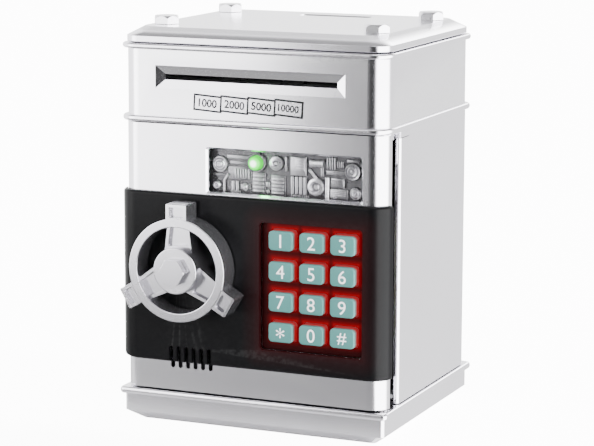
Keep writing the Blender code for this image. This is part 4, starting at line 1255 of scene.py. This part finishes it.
# %% Finishes of the toy
FINISHES = {
    "silver_plastic": finish(
        "silver_paint", (0.785, 0.772, 0.815), (0.16, 0.22), metal=1.0, drift=0.03,
        grain=(1400, 0.005), flake=0.10, worn=(0.86, 0.86, 0.88),
    ),
    "black_plastic": finish(
        "gloss_black", (0.0035, 0.0035, 0.004), (0.28, 0.38), drift=0.15, grain=(700, 0.008),
        worn=(0.012, 0.012, 0.0125), specular_ior_level=0.08,
    ),
    "grey_plastic": finish(
        "grey_moulding", (0.16, 0.16, 0.17), (0.42, 0.58), drift=0.08, grain=(1800, 0.04), worn=(0.3, 0.3, 0.31)
    ),
    "chrome_plastic": finish(
        "plated_relief", (0.60, 0.59, 0.63), (0.27, 0.36), metal=0.8, drift=0.06, grain=(900, 0.004),
        worn=(0.9, 0.9, 0.92),
    ),
    "cast_silver": finish(
        "cast_silver", (0.54, 0.53, 0.565), (0.19, 0.25), metal=0.955, drift=0.03,
        grain=(1400, 0.0015), flake=0.04, worn=(0.78, 0.77, 0.80),
    ),
    "steel": finish(
        "bright_steel", (0.56, 0.55, 0.54), (0.22, 0.4), metal=1.0, drift=0.08, grain=(2600, 0.01),
        worn=(0.75, 0.74, 0.73),
    ),
    "rubber": finish(
        "black_rubber", (0.022, 0.022, 0.023), (0.62, 0.82), drift=0.2, grain=(2200, 0.06),
        worn=(0.06, 0.06, 0.06),
    ),
    "white_gear": finish(
        "white_nylon", (0.74, 0.73, 0.69), (0.36, 0.48), drift=0.03, grain=(1500, 0.02),
        worn=(0.86, 0.85, 0.82), subsurface_weight=0.1,
    ),
    "circuit_board": finish(
        "green_board", (0.012, 0.12, 0.045), (0.24, 0.42), drift=0.25, grain=(420, 0.03),
        worn=(0.3, 0.26, 0.12),
    ),
    "cell_jacket": finish(
        "cell_jacket", (0.42, 0.19, 0.05), (0.2, 0.3), metal=0.55, drift=0.1, grain=(500, 0.01),
        worn=(0.7, 0.66, 0.6),
    ),
}
print(len(FINISHES), "plain finishes")

# %% [markdown]
# ## Depth in the plated relief
# In a deep mould little light reaches the floor between the shapes. That shade is painted: the relief's colour
# gets darker towards its sheet, by depth.

# %% Darker towards the sheet
plated = FINISHES["chrome_plastic"].node_tree
surface = plated.nodes["Principled BSDF"].inputs["Base Color"]
depth = place_of(plated)["Y"]
above_sheet = sums(plated, "MULTIPLY_ADD", depth, -1 / (2.0 * MM), RELIEF_FACE / (2.0 * MM))
# Painted shade: the colour darkens by depth towards the sheet.
shade = ramp(plated, above_sheet, (0.0, 0.20), (0.3, 0.34), (0.6, 0.62), (0.95, 0.95))
plated.links.new(blended(plated, 1.0, surface.links[0].from_socket, shade, "MULTIPLY"), surface)

# %% [markdown]
# ## Clear pane
# The pane is thin, so bending the light matters less than letting it through.
# A shader that is mostly see-through, with a tight gloss, does that and keeps
# the relief behind it bright.

# %% Pane
pane_finish = finish(
    "clear_pane", (0.02, 0.02, 0.022), (0.03, 0.07), drift=0.05, grain=(300, 0.004), alpha=0.06
)
FINISHES["clear_plastic"] = pane_finish

# %% [markdown]
# ## Lit pieces
# The lamp, the field and the feet of the keys give light. Where they glow is a
# matter of place: the keys are red only near their feet, because the red light
# comes from behind the field, and the field is brightest beside a key.

# %% Lit keys
def glow(material, colour, strength):
    """Adds emission of one colour, as strong as a node says."""
    shader = material.node_tree.nodes["Principled BSDF"]
    shader.inputs["Emission Color"].default_value = (*colour, 1.0)
    material.node_tree.links.new(strength, shader.inputs["Emission Strength"])


teal = finish(
    "teal_key_rubber", (0.062, 0.185, 0.175), (0.36, 0.48), drift=0.05, grain=(1200, 0.02),
    worn=(0.10, 0.26, 0.25), specular_ior_level=0.2,
)
tree = teal.node_tree
depth = place_of(tree)["Y"]
KEY_FACE, KEY_DEPTH = 63.6 * MM, 7.9 * MM
behind_face = sums(tree, "MULTIPLY_ADD", depth, 1 / KEY_DEPTH, KEY_FACE / KEY_DEPTH)
foot = ramp(tree, behind_face, (0.12, 0.0), (0.26, 0.55), (0.5, 1.0), (0.85, 0.5))
shader = tree.nodes["Principled BSDF"]
cap_tone = shader.inputs["Base Color"].links[0].from_socket
tree.links.new(blended(tree, foot, cap_tone, (0.06, 0.001, 0.0015, 1.0)), shader.inputs["Base Color"])
glow(teal, (1.0, 0.0, 0.012), sums(tree, "MULTIPLY", foot, 0.42))
FINISHES["teal_key"] = teal

# %% [markdown]
# ## The glow of the field
# The keys stand on a grid, so rounding a place to that grid finds the nearest
# key, and the glow fades with the distance to it.

# %% Lit field
red = finish(
    "red_field", (0.010, 0.001, 0.0012), (0.3, 0.42), drift=0.2, grain=(1300, 0.01),
    worn=(0.02, 0.003, 0.003), specular_ior_level=0.06,
)
tree = red.node_tree
place = place_of(tree)
column = (first_low.x + first_high.x) / 2
row = (first_low.z + first_high.z) / 2
PITCH_X, PITCH_Z = 15.7 * MM, 14.7 * MM


def from_key(tree, axis, start, pitch, half, count):
    """How far outside the nearest key a point is along one axis, in millimetres."""
    steps = sums(tree, "DIVIDE", sums(tree, "SUBTRACT", axis, start), pitch)
    lowest, highest = min(0.0, count), max(0.0, count)
    nearest = sums(tree, "MINIMUM", sums(tree, "MAXIMUM", sums(tree, "ROUND", steps), lowest), highest)
    off = sums(tree, "ABSOLUTE", sums(tree, "SUBTRACT", steps, nearest))
    outside = sums(tree, "MAXIMUM", sums(tree, "SUBTRACT", off, half / pitch), 0.0)
    return sums(tree, "MULTIPLY", outside, pitch / MM)


across = from_key(tree, place["X"], column, PITCH_X, 6.3 * MM, 2.0)
upward = from_key(tree, place["Z"], row + 0.8 * MM, PITCH_Z, 4.75 * MM, -3.0)
away_from_key = length_of(tree, across, upward)
halo = ramp(
    tree, sums(tree, "MULTIPLY", away_from_key, 0.2),
    (0.0, 0.36), (0.12, 0.2), (0.36, 0.085), (0.66, 0.022), (1.0, 0.006),
)
glow(red, (1.0, 0.0, 0.012), halo)
FINISHES["red_field"] = red

# %% [markdown]
# ## Spilled light
# A little red light reaches the black front and fades within a centimetre.

# %% Red light on the black front
black_finish = FINISHES["black_plastic"]
tree = black_finish.node_tree
place = place_of(tree)
keypad_middle, keypad_half = (KEYPAD_LOW + KEYPAD_HIGH) / 2, (KEYPAD_HIGH - KEYPAD_LOW) / 2


def beyond(tree, axis, centre, half):
    """How far a point lies outside a band, in millimetres."""
    off = sums(tree, "SUBTRACT", sums(tree, "ABSOLUTE", sums(tree, "SUBTRACT", axis, centre)), half)
    return sums(tree, "DIVIDE", sums(tree, "MAXIMUM", off, 0.0), MM)


sideways = beyond(tree, place["X"], keypad_middle.x, keypad_half.x)
upwards = beyond(tree, place["Z"], keypad_middle.z, keypad_half.z)
off_keypad = length_of(tree, sideways, upwards)
spill = ramp(tree, sums(tree, "MULTIPLY", off_keypad, 0.1), (0.0, 0.028), (0.3, 0.014), (0.95, 0.0))
glow(black_finish, (1.0, 0.02, 0.03), spill)

# %% [markdown]
# ## Lamp and inks
# The lamp is nearly white in the middle and green at its rim. A weak point
# light beside it tints the relief.

# %% Lamp, numbers and print
lamp_glow = finish(
    "green_lamp", (0.004, 0.04, 0.006), (0.12, 0.2), drift=0.02, grain=(600, 0.01), specular_ior_level=0.2
)
tree = lamp_glow.node_tree
place = place_of(tree)
side = sums(tree, "SUBTRACT", place["X"], LED.x)
rise = sums(tree, "SUBTRACT", place["Z"], LED.z)
reach = length_of(tree, side, rise)
core = ramp(
    tree, sums(tree, "DIVIDE", reach, LED_RADIUS),
    (0.3, (0.9, 1.0, 0.9)), (0.62, (0.04, 0.7, 0.05)), (1.0, (0.005, 0.3, 0.01)), smooth=True,
)
tree.links.new(core, tree.nodes["Principled BSDF"].inputs["Emission Color"])
tree.nodes["Principled BSDF"].inputs["Emission Strength"].default_value = 5.0
FINISHES["green_led"] = lamp_glow
white_ink = finish("white_ink", (0.86, 0.87, 0.87), (0.45, 0.6), drift=0.04, grain=(3000, 0.01))
dark_ink = finish(
    "dark_ink", (0.012, 0.012, 0.014), (0.4, 0.55), drift=0.15, grain=(3000, 0.01), specular_ior_level=0.1
)
glow_lamp = bpy.data.lights.new("lamp_light", "POINT")
glow_lamp.color = (0.1, 1.0, 0.2)
glow_lamp.energy = 0.003
glow_lamp.shadow_soft_size = 2 * MM
lamp_light = bpy.data.objects.new("lamp_light", glow_lamp)
bpy.context.scene.collection.objects.link(lamp_light)
lamp_light.location = (LED.x, -58.2 * MM, LED.z)

# %% [markdown]
# ## Putting each piece on its body
# Each new piece stands for a node of the model and rides on that node's body, so
# doors, keys and rollers still move. The nodes that stay get the same finishes,
# and modifiers that weld, round and smooth their edges without touching them.

# %% Bodies and slots
bodies = frame["record"]["behaviour"]["bodies"]
home = {node: body for body, nodes in bodies.items() for node in nodes}


def dress(piece, material, node, stands_for=True):
    """Gives a piece its finish and puts it on the body of a node."""
    piece.data.materials.clear()
    piece.data.materials.append(material)
    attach(piece, home[node])
    if stands_for:
        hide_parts(node)


shells = {
    "base_pan": (base, "silver_plastic"), "body_shell": (walls, "silver_plastic"),
    "upper_housing": (housing, "silver_plastic"), "roof_lid": (roof, "silver_plastic"),
    "door_shell": (door, "silver_plastic"), "front_panel": (black, "black_plastic"),
    "hand_wheel": (ring, "cast_silver"), "lock_spindle": (nut, "cast_silver"),
    "relief_panel": (sheet, "chrome_plastic"), "window_lens": (pane, "clear_plastic"),
    "status_led": (lamp_body, "green_led"), "keypad_bezel": (field, "red_field"),
}
for node, (piece, slot) in shells.items():
    dress(piece, FINISHES[slot], node)
for node, piece in bolts.items():
    dress(piece, FINISHES["silver_plastic"], node)
for node, piece in keys.items():
    dress(piece, teal, node)
    dress(digits[node], white_ink, node, stands_for=False)
dress(collar, FINISHES["grey_plastic"], "relief_panel", False)
for piece in box_pieces:
    card = piece.name.startswith("value_card")
    dress(piece, FINISHES["cast_silver"] if card else dark_ink, "upper_housing", stands_for=False)
print(len(shells) + len(bolts) + len(keys), "nodes replaced")

# %% [markdown]
# ## Pieces kept from the model
# The inner pieces keep their own meshes. Modifiers round their edges.

# %% Nodes that stay
replaced = set(shells) | set(bolts) | set(keys)
stay = [o for n, o in frame["nodes"].items() if n not in replaced]
for piece in stay:
    slot = piece.data.materials[0].name.split(".")[0]
    piece.material_slots[0].link = "OBJECT"
    piece.material_slots[0].material = FINISHES[slot]
    piece.modifiers.new("weld", "WELD").merge_threshold = 1e-5
    rounding = piece.modifiers.new("rounding", "BEVEL")
    rounding.width, rounding.segments = 0.2 * MM, 2
    rounding.limit_method, rounding.angle_limit = "ANGLE", math.radians(35)
    piece.modifiers.new("smooth", "WEIGHTED_NORMAL").keep_sharp = True
print(len(stay), "nodes kept")
